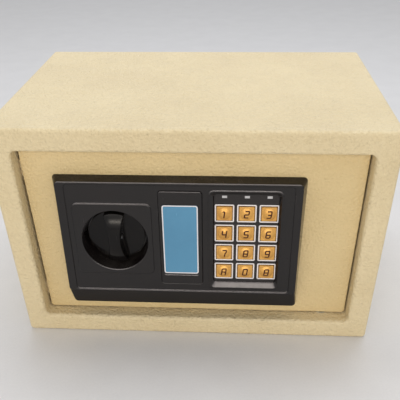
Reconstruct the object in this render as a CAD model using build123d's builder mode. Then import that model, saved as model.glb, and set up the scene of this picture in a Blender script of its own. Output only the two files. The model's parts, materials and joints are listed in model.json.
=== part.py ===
from build123d import *
from math import acos, atan2, cos, degrees, hypot, radians, sin
import os

# Electronic safe: a small steel case whose door carries a keypad, a turn knob and a hidden override
# lock. Millimetres, X to the right seen from the front, Y to the back, Z up. The origin is the
# centre of the case's base. Sketches on a depth plane have X to the right and Z up.

os.makedirs("parts", exist_ok=True)

# Fits
running_clearance = 0.05
seat_clearance = 0.3

# Case, folded from sheet steel
case_width = 310.0
case_depth = 200.0
case_height = 200.0
case_sheet = 2.0
long_edge_radius = 3.4
front_edge_radius = 3.0
back_edge_radius = 1.2
front_skirt = 6.0
front_border = 18.5
doorway_corner = 4.0
doorway_lip_radius = 3.0
jamb_depth = 42.0
anchor_hole_radius = 5.0
anchor_spacing = 150.0
floor_anchor_y = 20.0
mat_thickness = 1.5
mat_margin = 3.0
mat_hole_radius = 12.0

# Door plate
door_recess = 12.0
door_sheet = 3.0
door_corner = 3.0
door_edge_radius = 0.8
gap_free_side = 1.8
swing_clearance = 0.15
gap_top = 1.2

# Hinge: short pins on brackets behind the door, running in bushes in the jambs
hinge_inset = 21.0
pin_radius = 3.0
pin_head_lap = 0.8
pin_head_height = 2.0
pin_end = 1.0
bracket_width = 14.0
bracket_height = 16.0
bracket_front_wall = 1.0
bracket_back_wall = 2.5
bush_radius = 5.5
bush_flange_radius = 7.5
bush_flange = 1.5
washer_play = 0.2

# Door stop tabs inside the jambs
stop_sheet = 2.0
stop_overlap = 2.2
stop_width = 14.0
side_stop_spacing = 122.0
sill_stop_inset = 76.5

# Console, a wedge-shaped plastic moulding on the door
console_width = 202.0
console_mid_x = -10.7
console_flare = 3.8
console_top = 157.5
console_ridge_top = 155.3
console_ridge_bottom = 54.4
console_bottom = 26.0
console_thickness_top = 9.0
console_thickness_bottom = 18.2
console_wall = 3.4
console_side_wall = 2.4
console_corner = 3.5
console_edge = 0.8
recess_edge = 0.4
knob_square_edge = 0.45
bowl_edge = 0.6
pocket_edge = 0.7
recess_depth = 1.0
recess_margin_left = 6.9
recess_margin_right = 5.9
recess_margin_top = 2.1
recess_margin_bottom = 1.4
recess_corner = 3.0
console_boss_radius = 3.2
console_boss_inset_x = 12.6
console_boss_inset_top = 10.5
console_boss_inset_bottom = 22.0
console_screw_radius = 1.5
console_screw_length = 6.5
screw_head_radius = 3.0
screw_head = 2.0

# Knob in its bowl
knob_x = -63.8
knob_z = 103.8
knob_square_width = 64.0
knob_square_height = 65.0
knob_square_x = -64.7
knob_square_z = 104.5
knob_square_corner = 5.0
knob_square_raise = 0.9
bowl_rim_radius = 27.4
bowl_floor_radius = 25.0
bowl_rim_depth = 12.2
bowl_floor = 1.5
bowl_wall = 2.0
knob_radius = 23.7
knob_disc = 3.1
knob_gap = 0.4
grip_rise = 11.2
grip_end_drop = 6.5
grip_mid_width = 9.6
grip_end_width = 17.4
grip_inset = 0.2
grip_corner = 1.5
grip_edge = 1.0
knob_socket = 7.0
shaft_radius = 5.0
knob_bush_radius = 7.0
knob_turn = 75.0

# Crank on the knob's shaft, behind the door
crank_gap = 0.6
crank_sheet = 4.0
crank_hub_radius = 9.0
crank_radius = 11.0
crank_pin_radius = 2.5
crank_pin_wall = 2.5
crank_slot_play = 0.4

# Bolts and the carriage that carries them
bolt_radius = 7.0
bolt_chamfer = 1.2
bolt_setback = 1.1
bolt_behind = 14.5
bolt_low_z = 69.0
bolt_high_z = 137.0
bolt_hole_play = 0.75
bolt_tenon_radius = 4.0
bolt_rivet_radius = 5.5
bolt_rivet = 1.5
carriage_sheet = 2.0
carriage_gap = 2.0
carriage_stop_gap = 0.5
carriage_web_width = 45.0
carriage_web_margin = 9.0
carriage_flange_margin = 8.0
crank_tab_margin = 5.0
arm_height = 10.0
stud_inset_x = 24.0
stud_inset_z = 6.0
stud_collar_radius = 5.0
stud_neck_radius = 3.0
stud_head = 1.5
stud_play = 0.2
guide_sheet = 2.0
guide_foot = 11.0
guide_margin = 12.0
guide_depth = 25.0

# Solenoid with its plunger, which blocks the carriage
plunger_x = -28.0
plunger_behind = 15.0
plunger_radius = 4.0
plunger_length = 45.0
plunger_drop = 6.0
plunger_lift = 4.5
collar_radius = 7.5
collar_height = 1.5
block_overhang = 1.3
block_top = 100.0
block_rise = 2.0
block_setback = 0.2
solenoid_bottom = 125.0
solenoid_height = 34.0
solenoid_width = 26.0
solenoid_depth = 20.0
solenoid_sheet = 1.5
solenoid_spacer = 5.0
coil_radius = 8.3
coil_bore_play = 0.3
spring_radius = 5.5
spring_wire = 0.5
spring_turns = 6
fixing_inset_x = 3.0
fixing_inset_z = 6.0
fixing_radius = 3.0
fixing_head_radius = 2.5
fixing_head = 1.5

# Override lock behind its cover plate
lock_x = -9.3
lock_z = 99.0
lock_radius = 9.0
lock_head_radius = 11.0
lock_head = 2.0
lock_depth = 18.0
lock_nut_radius = 13.0
lock_nut_height = 5.0
plug_radius = 6.0
plug_proud = 0.4
plug_tail = 1.4
keyway_width = 2.0
keyway_height = 8.0
keyway_depth = 10.0
cam_sheet = 2.0
cam_width = 7.0
cam_length = 20.0
cam_gap = 0.4
cam_screw_radius = 2.0
cam_screw_head_radius = 3.8
cam_screw_length = 6.0

# Cover plate over the override lock, with its label
cover_plate_left = -26.6
cover_plate_right = 8.0
cover_plate_bottom = 62.8
cover_plate_top = 148.2
cover_plate_corner = 2.5
cover_plate_raise = 0.8
cover_plate_seat = 1.1
cover_plate_fit = 0.15
cover_plate_edge = 0.4
access_width = 26.0
access_height = 34.0
access_lug = 2.5
access_lug_wall = 1.4
label_width = 28.9
label_height = 63.4
label_x = -9.65
label_z = 104.9
label_sheet = 0.25
label_corner = 2.0
label_recess = 0.3
label_recess_margin_side = 0.35
label_recess_margin_bottom = 1.7
label_recess_margin_top = 0.4

# Keypad
pocket_left = 14.0
pocket_right = 71.0
pocket_bottom = 59.8
pocket_top = 148.1
pocket_corner = 4.0
pocket_rim = 1.2
pocket_raise = 0.4
pocket_rim_edge = 0.3
keypad_left = 17.6
keypad_right = 68.8
keypad_bottom = 64.5
keypad_top = 145.2
keypad_corner = 2.5
keypad_lap = 3.0
keypad_sheet = 1.5
key_columns = 3
key_rows = 4
key_pitch_x = 17.78
key_pitch_z = 18.0
key_mid_x = 43.6
key_mid_z = 101.9
key_size = 12.3
key_corner = 0.9
key_gap = 0.5
key_proud = 0.9
key_edge = 0.35
key_dome_radius = 5.15
key_dome_height = 1.5
key_flange = 0.7
key_flange_margin = 1.3
key_flange_play = 0.1
key_travel = 0.8
mat_sheet = 0.8
mat_dome_height = 0.4
mat_dome_radius = 4.0
mat_rim = 2.0
board_sheet = 1.6
light_width = 4.1
light_height = 2.2
light_z = 143.1
light_play = 0.1
connector_width = 10.0
connector_height = 5.0
connector_depth = 3.0

# Inner lock cover, its posts and screws
cover_inset_left = 5.3
cover_inset_top = 8.3
cover_hinge_gap = 3.2
cover_depth = 32.0
cover_sheet = 1.2
cover_corner = 3.0
cover_edge = 2.5
cover_guide_gap = 0.3
post_radius = 3.5
post_inset = 13.0
post_screw_radius = 1.6
post_screw_length = 8.0
post_screw_head_radius = 3.6

# Battery box with four AA cells
cell_radius = 7.25
cell_length = 49.2
cell_nub_radius = 2.7
cell_nub = 1.3
cell_pitch = 15.2
cell_count = 4
cell_gap = 0.3
contact_space = 2.6
contact_sheet = 0.5
battery_inset = 42.0
battery_z = 83.0
battery_wall = 1.6
battery_lip = 3.0
battery_lip_sheet = 1.5
battery_lid_sheet = 2.0
battery_lid_edge = 0.5
battery_headroom = 2.4

# Reset button, a small panel switch on the inner cover
reset_inset = 19.0
reset_above = 52.0
reset_body_radius = 6.0
reset_body_length = 15.0
reset_lip_radius = 7.5
reset_lip = 1.5
reset_button_radius = 4.0
reset_button_length = 12.5
reset_button_edge = 0.75
reset_button_proud = 4.0
reset_play = 0.2
reset_base = 4.0

# Grommet and wire leads
grommet_x = 24.0
grommet_z = 75.0
grommet_radius = 5.0
grommet_bore_radius = 4.0
grommet_lip_radius = 6.5
grommet_lip = 1.2
lead_radius = 1.1
lead_spacing = 2.7
lead_exit_bend = 4.0
lead_bend = 9.0
lead_entry_bend = 6.0
lead_standoff = 6.5
lead_tail = 12.0

# Levels and edges that follow from these sizes
front_y = -case_depth / 2
back_y = case_depth / 2
skirt_y = front_y + front_skirt
case_mid_z = case_height / 2
doorway_width = case_width - 2 * front_border
doorway_height = case_height - 2 * front_border
doorway_left = -doorway_width / 2
doorway_right = doorway_width / 2
doorway_bottom = case_mid_z - doorway_height / 2
doorway_top = case_mid_z + doorway_height / 2
door_front = front_y + door_recess
door_back = door_front + door_sheet
door_bottom = doorway_bottom + gap_top
door_top = doorway_top - gap_top
door_left = doorway_left + gap_free_side
hinge_behind = door_sheet + bracket_front_wall + pin_radius
gap_hinge_side = hypot(hinge_inset, hinge_behind) - hinge_inset + swing_clearance
door_right = doorway_right - gap_hinge_side
hinge_x = door_right - hinge_inset
hinge_y = door_front + hinge_behind

console_left = console_mid_x - console_width / 2
console_right = console_mid_x + console_width / 2
face_tilt = atan2(console_thickness_bottom - console_thickness_top, console_ridge_top - console_ridge_bottom)
face_mid_z = (console_ridge_top + console_ridge_bottom) / 2
face_mid_y = door_front - (console_thickness_top + console_thickness_bottom) / 2
face_plane = Plane(
    origin=(0, face_mid_y, face_mid_z), x_dir=(1, 0, 0), z_dir=(0, -cos(face_tilt), sin(face_tilt))
)
out_of_face = Axis(face_plane.origin, face_plane.z_dir)

bowl_floor_y = door_front - bowl_floor
knob_back = bowl_floor_y - knob_gap
knob_face = knob_back - knob_disc

crank_front = door_back + crank_gap
crank_back = crank_front + crank_sheet
half_turn = radians(knob_turn / 2)
crank_pin_x = knob_x + crank_radius * sin(half_turn)
bolt_travel = 2 * crank_radius * sin(half_turn)

cover_left = door_left + cover_inset_left
cover_right = hinge_x - bracket_width / 2 - cover_hinge_gap
cover_bottom = door_bottom + cover_inset_top
cover_top = door_top - cover_inset_top
cover_back = door_back + cover_depth
cover_inside = cover_back - cover_sheet

guide_left = cover_left + cover_sheet + cover_guide_gap
guide_right = guide_left + guide_sheet
web_front = crank_back + carriage_gap
web_back = web_front + carriage_sheet
bolt_y = door_back + bolt_behind
bolt_zs = (bolt_low_z, bolt_high_z)
bolts_mid_z = (bolt_low_z + bolt_high_z) / 2
carriage_left = guide_right + bolt_travel + carriage_stop_gap
bolt_tip = door_left + bolt_setback
stud_x = carriage_left + stud_inset_x
web_right = carriage_left + carriage_web_width
web_top = bolt_high_z + carriage_web_margin
web_bottom = bolt_low_z - carriage_web_margin

plunger_y = door_back + plunger_behind
plunger_tip = block_top + plunger_lift
collar_bottom = lock_z + cam_width / 2 + cam_gap + plunger_drop
collar_top = collar_bottom + collar_height
block_right = plunger_x + plunger_radius + block_overhang

plug_back = door_back + lock_depth + plug_tail
cam_back = plug_back + cam_sheet

plate_depth = console_wall
plate_back_depth = plate_depth + keypad_sheet
key_face_depth = plate_depth - key_proud
flange_depth = plate_back_depth + key_flange_play
mat_dome_depth = flange_depth + key_flange + key_travel + key_flange_play
mat_depth = mat_dome_depth + mat_dome_height
board_depth = mat_depth + mat_sheet
board_back_depth = board_depth + board_sheet
connector_back_depth = board_back_depth + connector_depth
cover_plate_depth = recess_depth - cover_plate_raise
cover_seat_depth = recess_depth + cover_plate_seat

battery_x = cover_right - battery_inset
cells_width = cell_pitch * cell_count
cells_height = cell_length + cell_nub + 2 * contact_space
battery_floor_y = cover_back - battery_headroom - 2 * cell_radius - cell_gap
cell_y = battery_floor_y + cell_gap + cell_radius
battery_front_y = battery_floor_y - battery_wall
battery_back_y = cover_back + battery_lip_sheet
reset_x = cover_right - reset_inset
reset_z = battery_z + reset_above


def at_depth(y):
    """Plane across the safe at depth y. Extruding forwards is positive."""
    return Plane.XZ.offset(-y)


def on_face(depth):
    """Plane parallel to the console's tilted face, at a depth under its rim."""
    return face_plane.offset(-depth)


def up_face(z):
    """Distance up the tilted face from its middle to height z."""
    return (z - face_mid_z) / cos(face_tilt)


def face_y(z, depth):
    """Depth coordinate of the plane under the console's rim at height z."""
    return face_mid_y - ((face_mid_z - z) * sin(face_tilt) - depth) / cos(face_tilt)


def span(low, high):
    """Middle and length of a stretch."""
    return (low + high) / 2, high - low


def save(part, name):
    """Label a finished piece and write it."""
    part.label = name
    export_step(part, f"parts/{name}.step")


# Front frame: the face round the doorway, bent back outside and inside
with BuildPart() as front_frame:
    with BuildSketch(at_depth(front_y)):
        with Locations((0, case_mid_z)):
            RectangleRounded(case_width, case_height, long_edge_radius)
    extrude(amount=-front_skirt)
    fillet(front_frame.faces().sort_by(Axis.Y)[0].edges(), front_edge_radius)
    with BuildSketch(at_depth(front_y + case_sheet)):
        with Locations((0, case_mid_z)):
            RectangleRounded(
                case_width - 2 * case_sheet, case_height - 2 * case_sheet, long_edge_radius - case_sheet
            )
    extrude(amount=case_sheet - front_skirt, mode=Mode.SUBTRACT)
    with BuildSketch(at_depth(front_y + case_sheet)):
        with Locations((0, case_mid_z)):
            RectangleRounded(
                doorway_width + 2 * case_sheet, doorway_height + 2 * case_sheet, doorway_corner + case_sheet
            )
    extrude(amount=case_sheet - jamb_depth)
    with BuildSketch(at_depth(front_y)):
        with Locations((0, case_mid_z)):
            RectangleRounded(doorway_width, doorway_height, doorway_corner)
    extrude(amount=-jamb_depth, mode=Mode.SUBTRACT)
    fillet(front_frame.faces().sort_by(Axis.Y)[0].inner_wires()[0].edges(), doorway_lip_radius)
    with BuildSketch(Plane.YZ.offset(doorway_left)):
        with Locations(*[(bolt_y, z) for z in bolt_zs]):
            Circle(bolt_radius + bolt_hole_play)
    extrude(amount=-case_sheet, mode=Mode.SUBTRACT)
    with BuildSketch(Plane.XY.offset(doorway_top), Plane.XY.offset(doorway_bottom - case_sheet)):
        with Locations((hinge_x, hinge_y)):
            Circle(bush_radius)
    extrude(amount=case_sheet, mode=Mode.SUBTRACT)
save(front_frame.part, "front_frame")

# Wrap: top, sides and floor behind the front frame, with two anchor holes in the floor
anchor_xs = (-anchor_spacing / 2, anchor_spacing / 2)
with BuildPart() as case_wrap:
    with BuildSketch(at_depth(skirt_y)):
        with Locations((0, case_mid_z)):
            RectangleRounded(case_width, case_height, long_edge_radius)
            RectangleRounded(
                case_width - 2 * case_sheet,
                case_height - 2 * case_sheet,
                long_edge_radius - case_sheet,
                mode=Mode.SUBTRACT,
            )
    extrude(amount=front_skirt - case_depth)
    fillet(case_wrap.faces().sort_by(Axis.Y)[-1].outer_wire().edges(), back_edge_radius)
    with BuildSketch(Plane.XY):
        with Locations(*[(x, floor_anchor_y) for x in anchor_xs]):
            Circle(anchor_hole_radius)
    extrude(amount=case_sheet, mode=Mode.SUBTRACT)
save(case_wrap.part, "case_wrap")

# Back panel let into the wrap, with two anchor holes for a wall
with BuildPart() as back_panel:
    with BuildSketch(at_depth(back_y)):
        with Locations((0, case_mid_z)):
            RectangleRounded(
                case_width - 2 * case_sheet, case_height - 2 * case_sheet, long_edge_radius - case_sheet
            )
        with Locations(*[(x, case_mid_z) for x in anchor_xs]):
            Circle(anchor_hole_radius, mode=Mode.SUBTRACT)
    extrude(amount=case_sheet)
save(back_panel.part, "back_panel")

# Floor mat, cut out round the anchor holes
mat_mid_y, mat_length = span(front_y + jamb_depth + mat_margin, back_y - case_sheet - mat_margin)
with BuildPart() as floor_mat:
    with BuildSketch(Plane.XY.offset(case_sheet)):
        with Locations((0, mat_mid_y)):
            Rectangle(case_width - 2 * (case_sheet + mat_margin), mat_length)
        with Locations(*[(x, floor_anchor_y) for x in anchor_xs]):
            Circle(mat_hole_radius, mode=Mode.SUBTRACT)
    extrude(amount=mat_thickness)
save(floor_mat.part, "floor_mat")

# Door stop tabs behind the door's free side, top and bottom
side_stop_mid, side_stop_reach = span(doorway_left, door_left + stop_overlap)
sill_stop_mid, sill_stop_reach = span(doorway_bottom, door_bottom + stop_overlap)
sill_stop_x = doorway_left + sill_stop_inset
with BuildPart() as door_stops:
    with BuildSketch(at_depth(door_back + seat_clearance)):
        with Locations(*[(side_stop_mid, case_mid_z + s * side_stop_spacing / 2) for s in (-1, 1)]):
            Rectangle(side_stop_reach, stop_width)
        with Locations((sill_stop_x, sill_stop_mid), (sill_stop_x, 2 * case_mid_z - sill_stop_mid)):
            Rectangle(stop_width, sill_stop_reach)
    extrude(amount=-stop_sheet)
save(door_stops.part, "door_stops")

# Hinge bushes in the upper and lower jamb
with BuildPart() as hinge_bushes:
    with BuildSketch(Plane.XY.offset(doorway_top)):
        with Locations((hinge_x, hinge_y)):
            Circle(bush_radius)
    extrude(amount=case_sheet)
    with BuildSketch(Plane.XY.offset(doorway_top + case_sheet)):
        with Locations((hinge_x, hinge_y)):
            Circle(bush_flange_radius)
    extrude(amount=bush_flange)
    with BuildSketch(Plane.XY.offset(doorway_top)):
        with Locations((hinge_x, hinge_y)):
            Circle(pin_radius + running_clearance)
    extrude(amount=case_sheet + bush_flange, mode=Mode.SUBTRACT)
    mirror(about=Plane.XY.offset(case_mid_z))
save(hinge_bushes.part, "hinge_bushes")

# Washer that carries the door on the lower jamb
with BuildPart() as hinge_washer:
    with BuildSketch(Plane.XY.offset(doorway_bottom)):
        with Locations((hinge_x, hinge_y)):
            Circle(bracket_width / 2)
            Circle(pin_radius + running_clearance, mode=Mode.SUBTRACT)
    extrude(amount=gap_top - washer_play)
save(hinge_washer.part, "hinge_washer")

# Door plate with the holes for the knob, the lock, the leads and the console's screws
console_screw_points = [
    (x, z)
    for x in (console_left + console_boss_inset_x, console_right - console_boss_inset_x)
    for z in (console_bottom + console_boss_inset_bottom, console_top - console_boss_inset_top)
]
door_mid_x, door_width = span(door_left, door_right)
door_mid_z, door_height = span(door_bottom, door_top)
with BuildPart() as door_plate:
    with BuildSketch(at_depth(door_front)):
        with Locations((door_mid_x, door_mid_z)):
            RectangleRounded(door_width, door_height, door_corner)
    extrude(amount=-door_sheet)
    fillet(door_plate.faces().sort_by(Axis.Y)[0].edges(), door_edge_radius)
    with BuildSketch(at_depth(door_front)):
        with Locations((knob_x, knob_z)):
            Circle(knob_bush_radius)
        with Locations((lock_x, lock_z)):
            Circle(lock_radius)
        with Locations((grommet_x, grommet_z)):
            Circle(grommet_radius)
        with Locations(*console_screw_points):
            Circle(console_screw_radius)
    extrude(amount=-door_sheet, mode=Mode.SUBTRACT)
save(door_plate.part, "door_plate")

# Hinge brackets welded behind the door, one at each end
bracket_mid_y, bracket_depth = span(door_back, hinge_y + pin_radius + bracket_back_wall)
with BuildPart() as hinge_brackets:
    with BuildSketch(Plane.XY.offset(door_top)):
        with Locations((hinge_x, bracket_mid_y)):
            Rectangle(bracket_width, bracket_depth)
        with Locations((hinge_x, hinge_y)):
            Circle(pin_radius, mode=Mode.SUBTRACT)
    extrude(amount=-bracket_height)
    mirror(about=Plane.XY.offset(case_mid_z))
save(hinge_brackets.part, "hinge_brackets")

# Hinge pins, headed inside the brackets
with BuildPart() as hinge_pins:
    with BuildSketch(Plane.XY.offset(door_top - bracket_height)):
        with Locations((hinge_x, hinge_y)):
            Circle(pin_radius)
    extrude(amount=bracket_height + gap_top + case_sheet + bush_flange + pin_end)
    with BuildSketch(Plane.XY.offset(door_top - bracket_height)):
        with Locations((hinge_x, hinge_y)):
            Circle(pin_radius + pin_head_lap)
    extrude(amount=-pin_head_height)
    mirror(about=Plane.XY.offset(case_mid_z))
save(hinge_pins.part, "hinge_pins")

# Bolt guide, an angle welded to the door that the bolts run in
guide_mid_z, guide_height = span(bolt_low_z - guide_margin, bolt_high_z + guide_margin)
guide_mid_y, _ = span(door_back, door_back + guide_depth)
with BuildPart() as bolt_guide:
    with BuildSketch(Plane.YZ.offset(guide_left)):
        with Locations((guide_mid_y, guide_mid_z)):
            Rectangle(guide_depth, guide_height)
        with Locations(*[(bolt_y, z) for z in bolt_zs]):
            Circle(bolt_radius + running_clearance, mode=Mode.SUBTRACT)
    extrude(amount=guide_sheet)
    with BuildSketch(at_depth(door_back)):
        with Locations((guide_right + guide_foot / 2, guide_mid_z)):
            Rectangle(guide_foot, guide_height)
    extrude(amount=-guide_sheet)
save(bolt_guide.part, "bolt_guide")

# Carriage studs: a collar on the door, a neck in the carriage's slot and a head over it
stud_zs = (web_bottom + stud_inset_z, web_top - stud_inset_z)
with BuildPart() as carriage_studs:
    for level, length, radius in (
        (door_back, web_front - stud_play - door_back, stud_collar_radius),
        (web_front - stud_play, carriage_sheet + 2 * stud_play, stud_neck_radius),
        (web_back + stud_play, stud_head, stud_collar_radius),
    ):
        with BuildSketch(at_depth(level)):
            with Locations(*[(stud_x, z) for z in stud_zs]):
                Circle(radius)
        extrude(amount=-length)
save(carriage_studs.part, "carriage_studs")

# Carriage: a web with a flange that holds the bolts, a tab with the crank's slot, and an arm
# whose turned-back end the plunger blocks
slot_bottom = knob_z + crank_radius * cos(half_turn) - crank_pin_radius - crank_slot_play
slot_top = knob_z + crank_radius + crank_pin_radius + crank_slot_play
slot_width = 2 * (crank_pin_radius + crank_slot_play)
tab_right = crank_pin_x + slot_width / 2 + crank_tab_margin
arm_top = block_top - block_rise
with BuildPart() as bolt_carriage:
    with BuildSketch(at_depth(web_front)):
        for left, right, bottom, top in (
            (carriage_left, web_right, web_bottom, web_top),
            (web_right, tab_right, slot_bottom - crank_tab_margin, slot_top + crank_tab_margin),
            (web_right, block_right, arm_top - arm_height, arm_top),
        ):
            mid_x, width = span(left, right)
            mid_z, height = span(bottom, top)
            with Locations((mid_x, mid_z)):
                Rectangle(width, height)
    extrude(amount=-carriage_sheet)
    flange_mid_y, flange_depth_y = span(web_front, bolt_y + carriage_flange_margin)
    with BuildSketch(Plane.YZ.offset(carriage_left)):
        with Locations((flange_mid_y, bolts_mid_z)):
            Rectangle(flange_depth_y, web_top - web_bottom)
    extrude(amount=carriage_sheet)
    with BuildSketch(Plane.YZ.offset(carriage_left)):
        with Locations(*[(bolt_y, z) for z in bolt_zs]):
            Circle(bolt_tenon_radius)
    extrude(amount=carriage_sheet, mode=Mode.SUBTRACT)
    block_mid_y, block_depth = span(web_front, plunger_y + plunger_radius - block_setback)
    block_mid_z, block_height = span(arm_top - arm_height, block_top)
    with BuildSketch(Plane.YZ.offset(block_right)):
        with Locations((block_mid_y, block_mid_z)):
            Rectangle(block_depth, block_height)
    extrude(amount=-carriage_sheet)
    slot_mid_z, slot_height = span(slot_bottom, slot_top)
    with BuildSketch(at_depth(web_front)):
        with Locations((crank_pin_x, slot_mid_z)):
            RectangleRounded(slot_width, slot_height, slot_width / 2 - running_clearance)
        with Locations(*[(stud_x + bolt_travel / 2, z) for z in stud_zs]):
            SlotCenterToCenter(bolt_travel + 2 * stud_play, 2 * (stud_neck_radius + stud_play))
    extrude(amount=-carriage_sheet, mode=Mode.SUBTRACT)
save(bolt_carriage.part, "bolt_carriage")

# Two round bolts, riveted into the carriage's flange
for name, z in (("bolt_upper", bolt_high_z), ("bolt_lower", bolt_low_z)):
    with BuildPart() as bolt:
        with BuildSketch(Plane.YZ.offset(bolt_tip)):
            with Locations((bolt_y, z)):
                Circle(bolt_radius)
        extrude(amount=carriage_left - bolt_tip)
        chamfer(bolt.edges().sort_by(Axis.X)[0], bolt_chamfer)
        with BuildSketch(Plane.YZ.offset(carriage_left)):
            with Locations((bolt_y, z)):
                Circle(bolt_tenon_radius)
        extrude(amount=carriage_sheet)
        with BuildSketch(Plane.YZ.offset(carriage_left + carriage_sheet)):
            with Locations((bolt_y, z)):
                Circle(bolt_rivet_radius)
        extrude(amount=bolt_rivet)
    save(bolt.part, name)

# Console: a wedge with a recessed face, a knob bowl, a keypad pocket and a seat for the cover plate
console_outline = [
    (door_front, console_top),
    (door_front - console_thickness_top, console_ridge_top),
    (door_front - console_thickness_bottom, console_ridge_bottom),
]
hollow_back = door_front + 2 * console_wall
hollow_outline = [
    (hollow_back, console_top),
    *console_outline,
    (door_front, console_bottom),
    (hollow_back, console_bottom),
]
rim_left = console_left + console_flare
rim_right = console_right - console_flare
rim_mid_x, rim_width = span(rim_left, rim_right)
rim_mid_v, rim_height = span(up_face(console_ridge_bottom), up_face(console_ridge_top))
recess_mid_x, recess_width = span(rim_left + recess_margin_left, rim_right - recess_margin_right)
recess_mid_v, recess_height = span(
    up_face(console_ridge_bottom + recess_margin_bottom), up_face(console_ridge_top - recess_margin_top)
)
cover_plate_mid_x, cover_plate_width = span(cover_plate_left, cover_plate_right)
cover_plate_mid_v, cover_plate_height = span(up_face(cover_plate_bottom), up_face(cover_plate_top))
console_mid_z, console_height = span(console_bottom, console_top)
pocket_mid_x, pocket_width = span(pocket_left, pocket_right)
pocket_mid_v, pocket_height = span(up_face(pocket_bottom), up_face(pocket_top))
keypad_mid_x, keypad_width = span(keypad_left, keypad_right)
keypad_mid_v, keypad_height = span(up_face(keypad_bottom), up_face(keypad_top))

with BuildPart() as console_hollow:
    with BuildSketch(Plane.YZ.offset(console_mid_x)):
        with BuildLine():
            Polyline(*hollow_outline, close=True)
        make_face()
        offset(amount=-console_wall, kind=Kind.INTERSECTION)
    extrude(amount=rim_width / 2 - console_side_wall, both=True)
    with BuildSketch(at_depth(door_front)):
        with Locations((knob_x, knob_z)):
            Circle(bowl_rim_radius + bowl_wall)
        with Locations(*console_screw_points):
            Circle(console_boss_radius)
    extrude(amount=console_thickness_bottom, mode=Mode.SUBTRACT)

with BuildPart() as console:
    with BuildSketch(at_depth(door_front)):
        with Locations((console_mid_x, console_mid_z)):
            RectangleRounded(console_width, console_height, console_corner)
    with BuildSketch(on_face(0)):
        with Locations((rim_mid_x, rim_mid_v)):
            RectangleRounded(rim_width, rim_height, console_corner)
    loft()
    fillet(console.faces().filter_by(face_plane).edges(), console_edge)
    add(console_hollow.part, mode=Mode.SUBTRACT)
    with BuildSketch(on_face(0)):
        with Locations((recess_mid_x, recess_mid_v)):
            RectangleRounded(recess_width, recess_height, recess_corner)
    extrude(amount=-recess_depth, mode=Mode.SUBTRACT)
    rim = console.faces().filter_by(face_plane).sort_by(out_of_face)[-1]
    fillet(rim.inner_wires()[0].edges(), recess_edge)
    with BuildSketch(on_face(recess_depth)):
        with Locations((knob_square_x, up_face(knob_square_z))):
            RectangleRounded(knob_square_width, knob_square_height, knob_square_corner)
    extrude(amount=knob_square_raise)
    knob_square = console.faces().filter_by(face_plane).sort_by(out_of_face)[-2]
    fillet(knob_square.edges(), knob_square_edge)
    bowl_slope = (bowl_rim_radius - bowl_floor_radius) / bowl_rim_depth
    bowl_reach = console_thickness_bottom
    with Locations(Location((knob_x, bowl_floor_y, knob_z), (90, 0, 0))):
        Cone(
            bowl_floor_radius,
            bowl_floor_radius + bowl_slope * bowl_reach,
            bowl_reach,
            align=(Align.CENTER, Align.CENTER, Align.MIN),
            mode=Mode.SUBTRACT,
        )
    knob_square = console.faces().filter_by(face_plane).sort_by(out_of_face)[-2]
    fillet(knob_square.inner_wires()[0].edges(), bowl_edge)
    with BuildSketch(at_depth(door_front)):
        with Locations((knob_x, knob_z)):
            Circle(knob_bush_radius)
    extrude(amount=bowl_floor, mode=Mode.SUBTRACT)
    with BuildSketch(at_depth(door_front)):
        with Locations(*console_screw_points):
            Circle(console_screw_radius)
    extrude(amount=console_screw_length, mode=Mode.SUBTRACT)
    with BuildSketch(on_face(recess_depth)):
        with Locations((cover_plate_mid_x, cover_plate_mid_v)):
            RectangleRounded(
                cover_plate_width + 2 * cover_plate_fit,
                cover_plate_height + 2 * cover_plate_fit,
                cover_plate_corner,
            )
    extrude(amount=-cover_plate_seat, mode=Mode.SUBTRACT)
    with BuildSketch(on_face(recess_depth)):
        with Locations((lock_x, up_face(lock_z))):
            Rectangle(access_width, access_height)
    extrude(amount=-console_wall, mode=Mode.SUBTRACT)
    with BuildSketch(on_face(recess_depth)):
        with Locations((pocket_mid_x, pocket_mid_v)):
            RectangleRounded(
                pocket_width + 2 * pocket_rim, pocket_height + 2 * pocket_rim, pocket_corner + pocket_rim
            )
    extrude(amount=pocket_raise)
    pocket_rim_face = console.faces().filter_by(face_plane).sort_by(out_of_face)[-3]
    fillet(pocket_rim_face.edges(), pocket_rim_edge)
    with BuildSketch(on_face(recess_depth - pocket_raise)):
        with Locations((pocket_mid_x, pocket_mid_v)):
            RectangleRounded(pocket_width, pocket_height, pocket_corner)
    with BuildSketch(on_face(plate_depth)):
        with Locations((keypad_mid_x, keypad_mid_v)):
            RectangleRounded(keypad_width, keypad_height, keypad_corner)
    loft(mode=Mode.SUBTRACT)
    pocket_rim_face = console.faces().filter_by(face_plane).sort_by(out_of_face)[-3]
    fillet(pocket_rim_face.inner_wires()[0].edges(), pocket_edge)
save(console.part, "console")

# Console screws, driven from behind the door
with BuildPart() as console_screws:
    with BuildSketch(at_depth(door_back)):
        with Locations(*console_screw_points):
            Circle(console_screw_radius)
    extrude(amount=door_sheet + console_screw_length)
    with BuildSketch(at_depth(door_back)):
        with Locations(*console_screw_points):
            Circle(screw_head_radius)
    extrude(amount=-screw_head)
save(console_screws.part, "console_screws")

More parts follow.
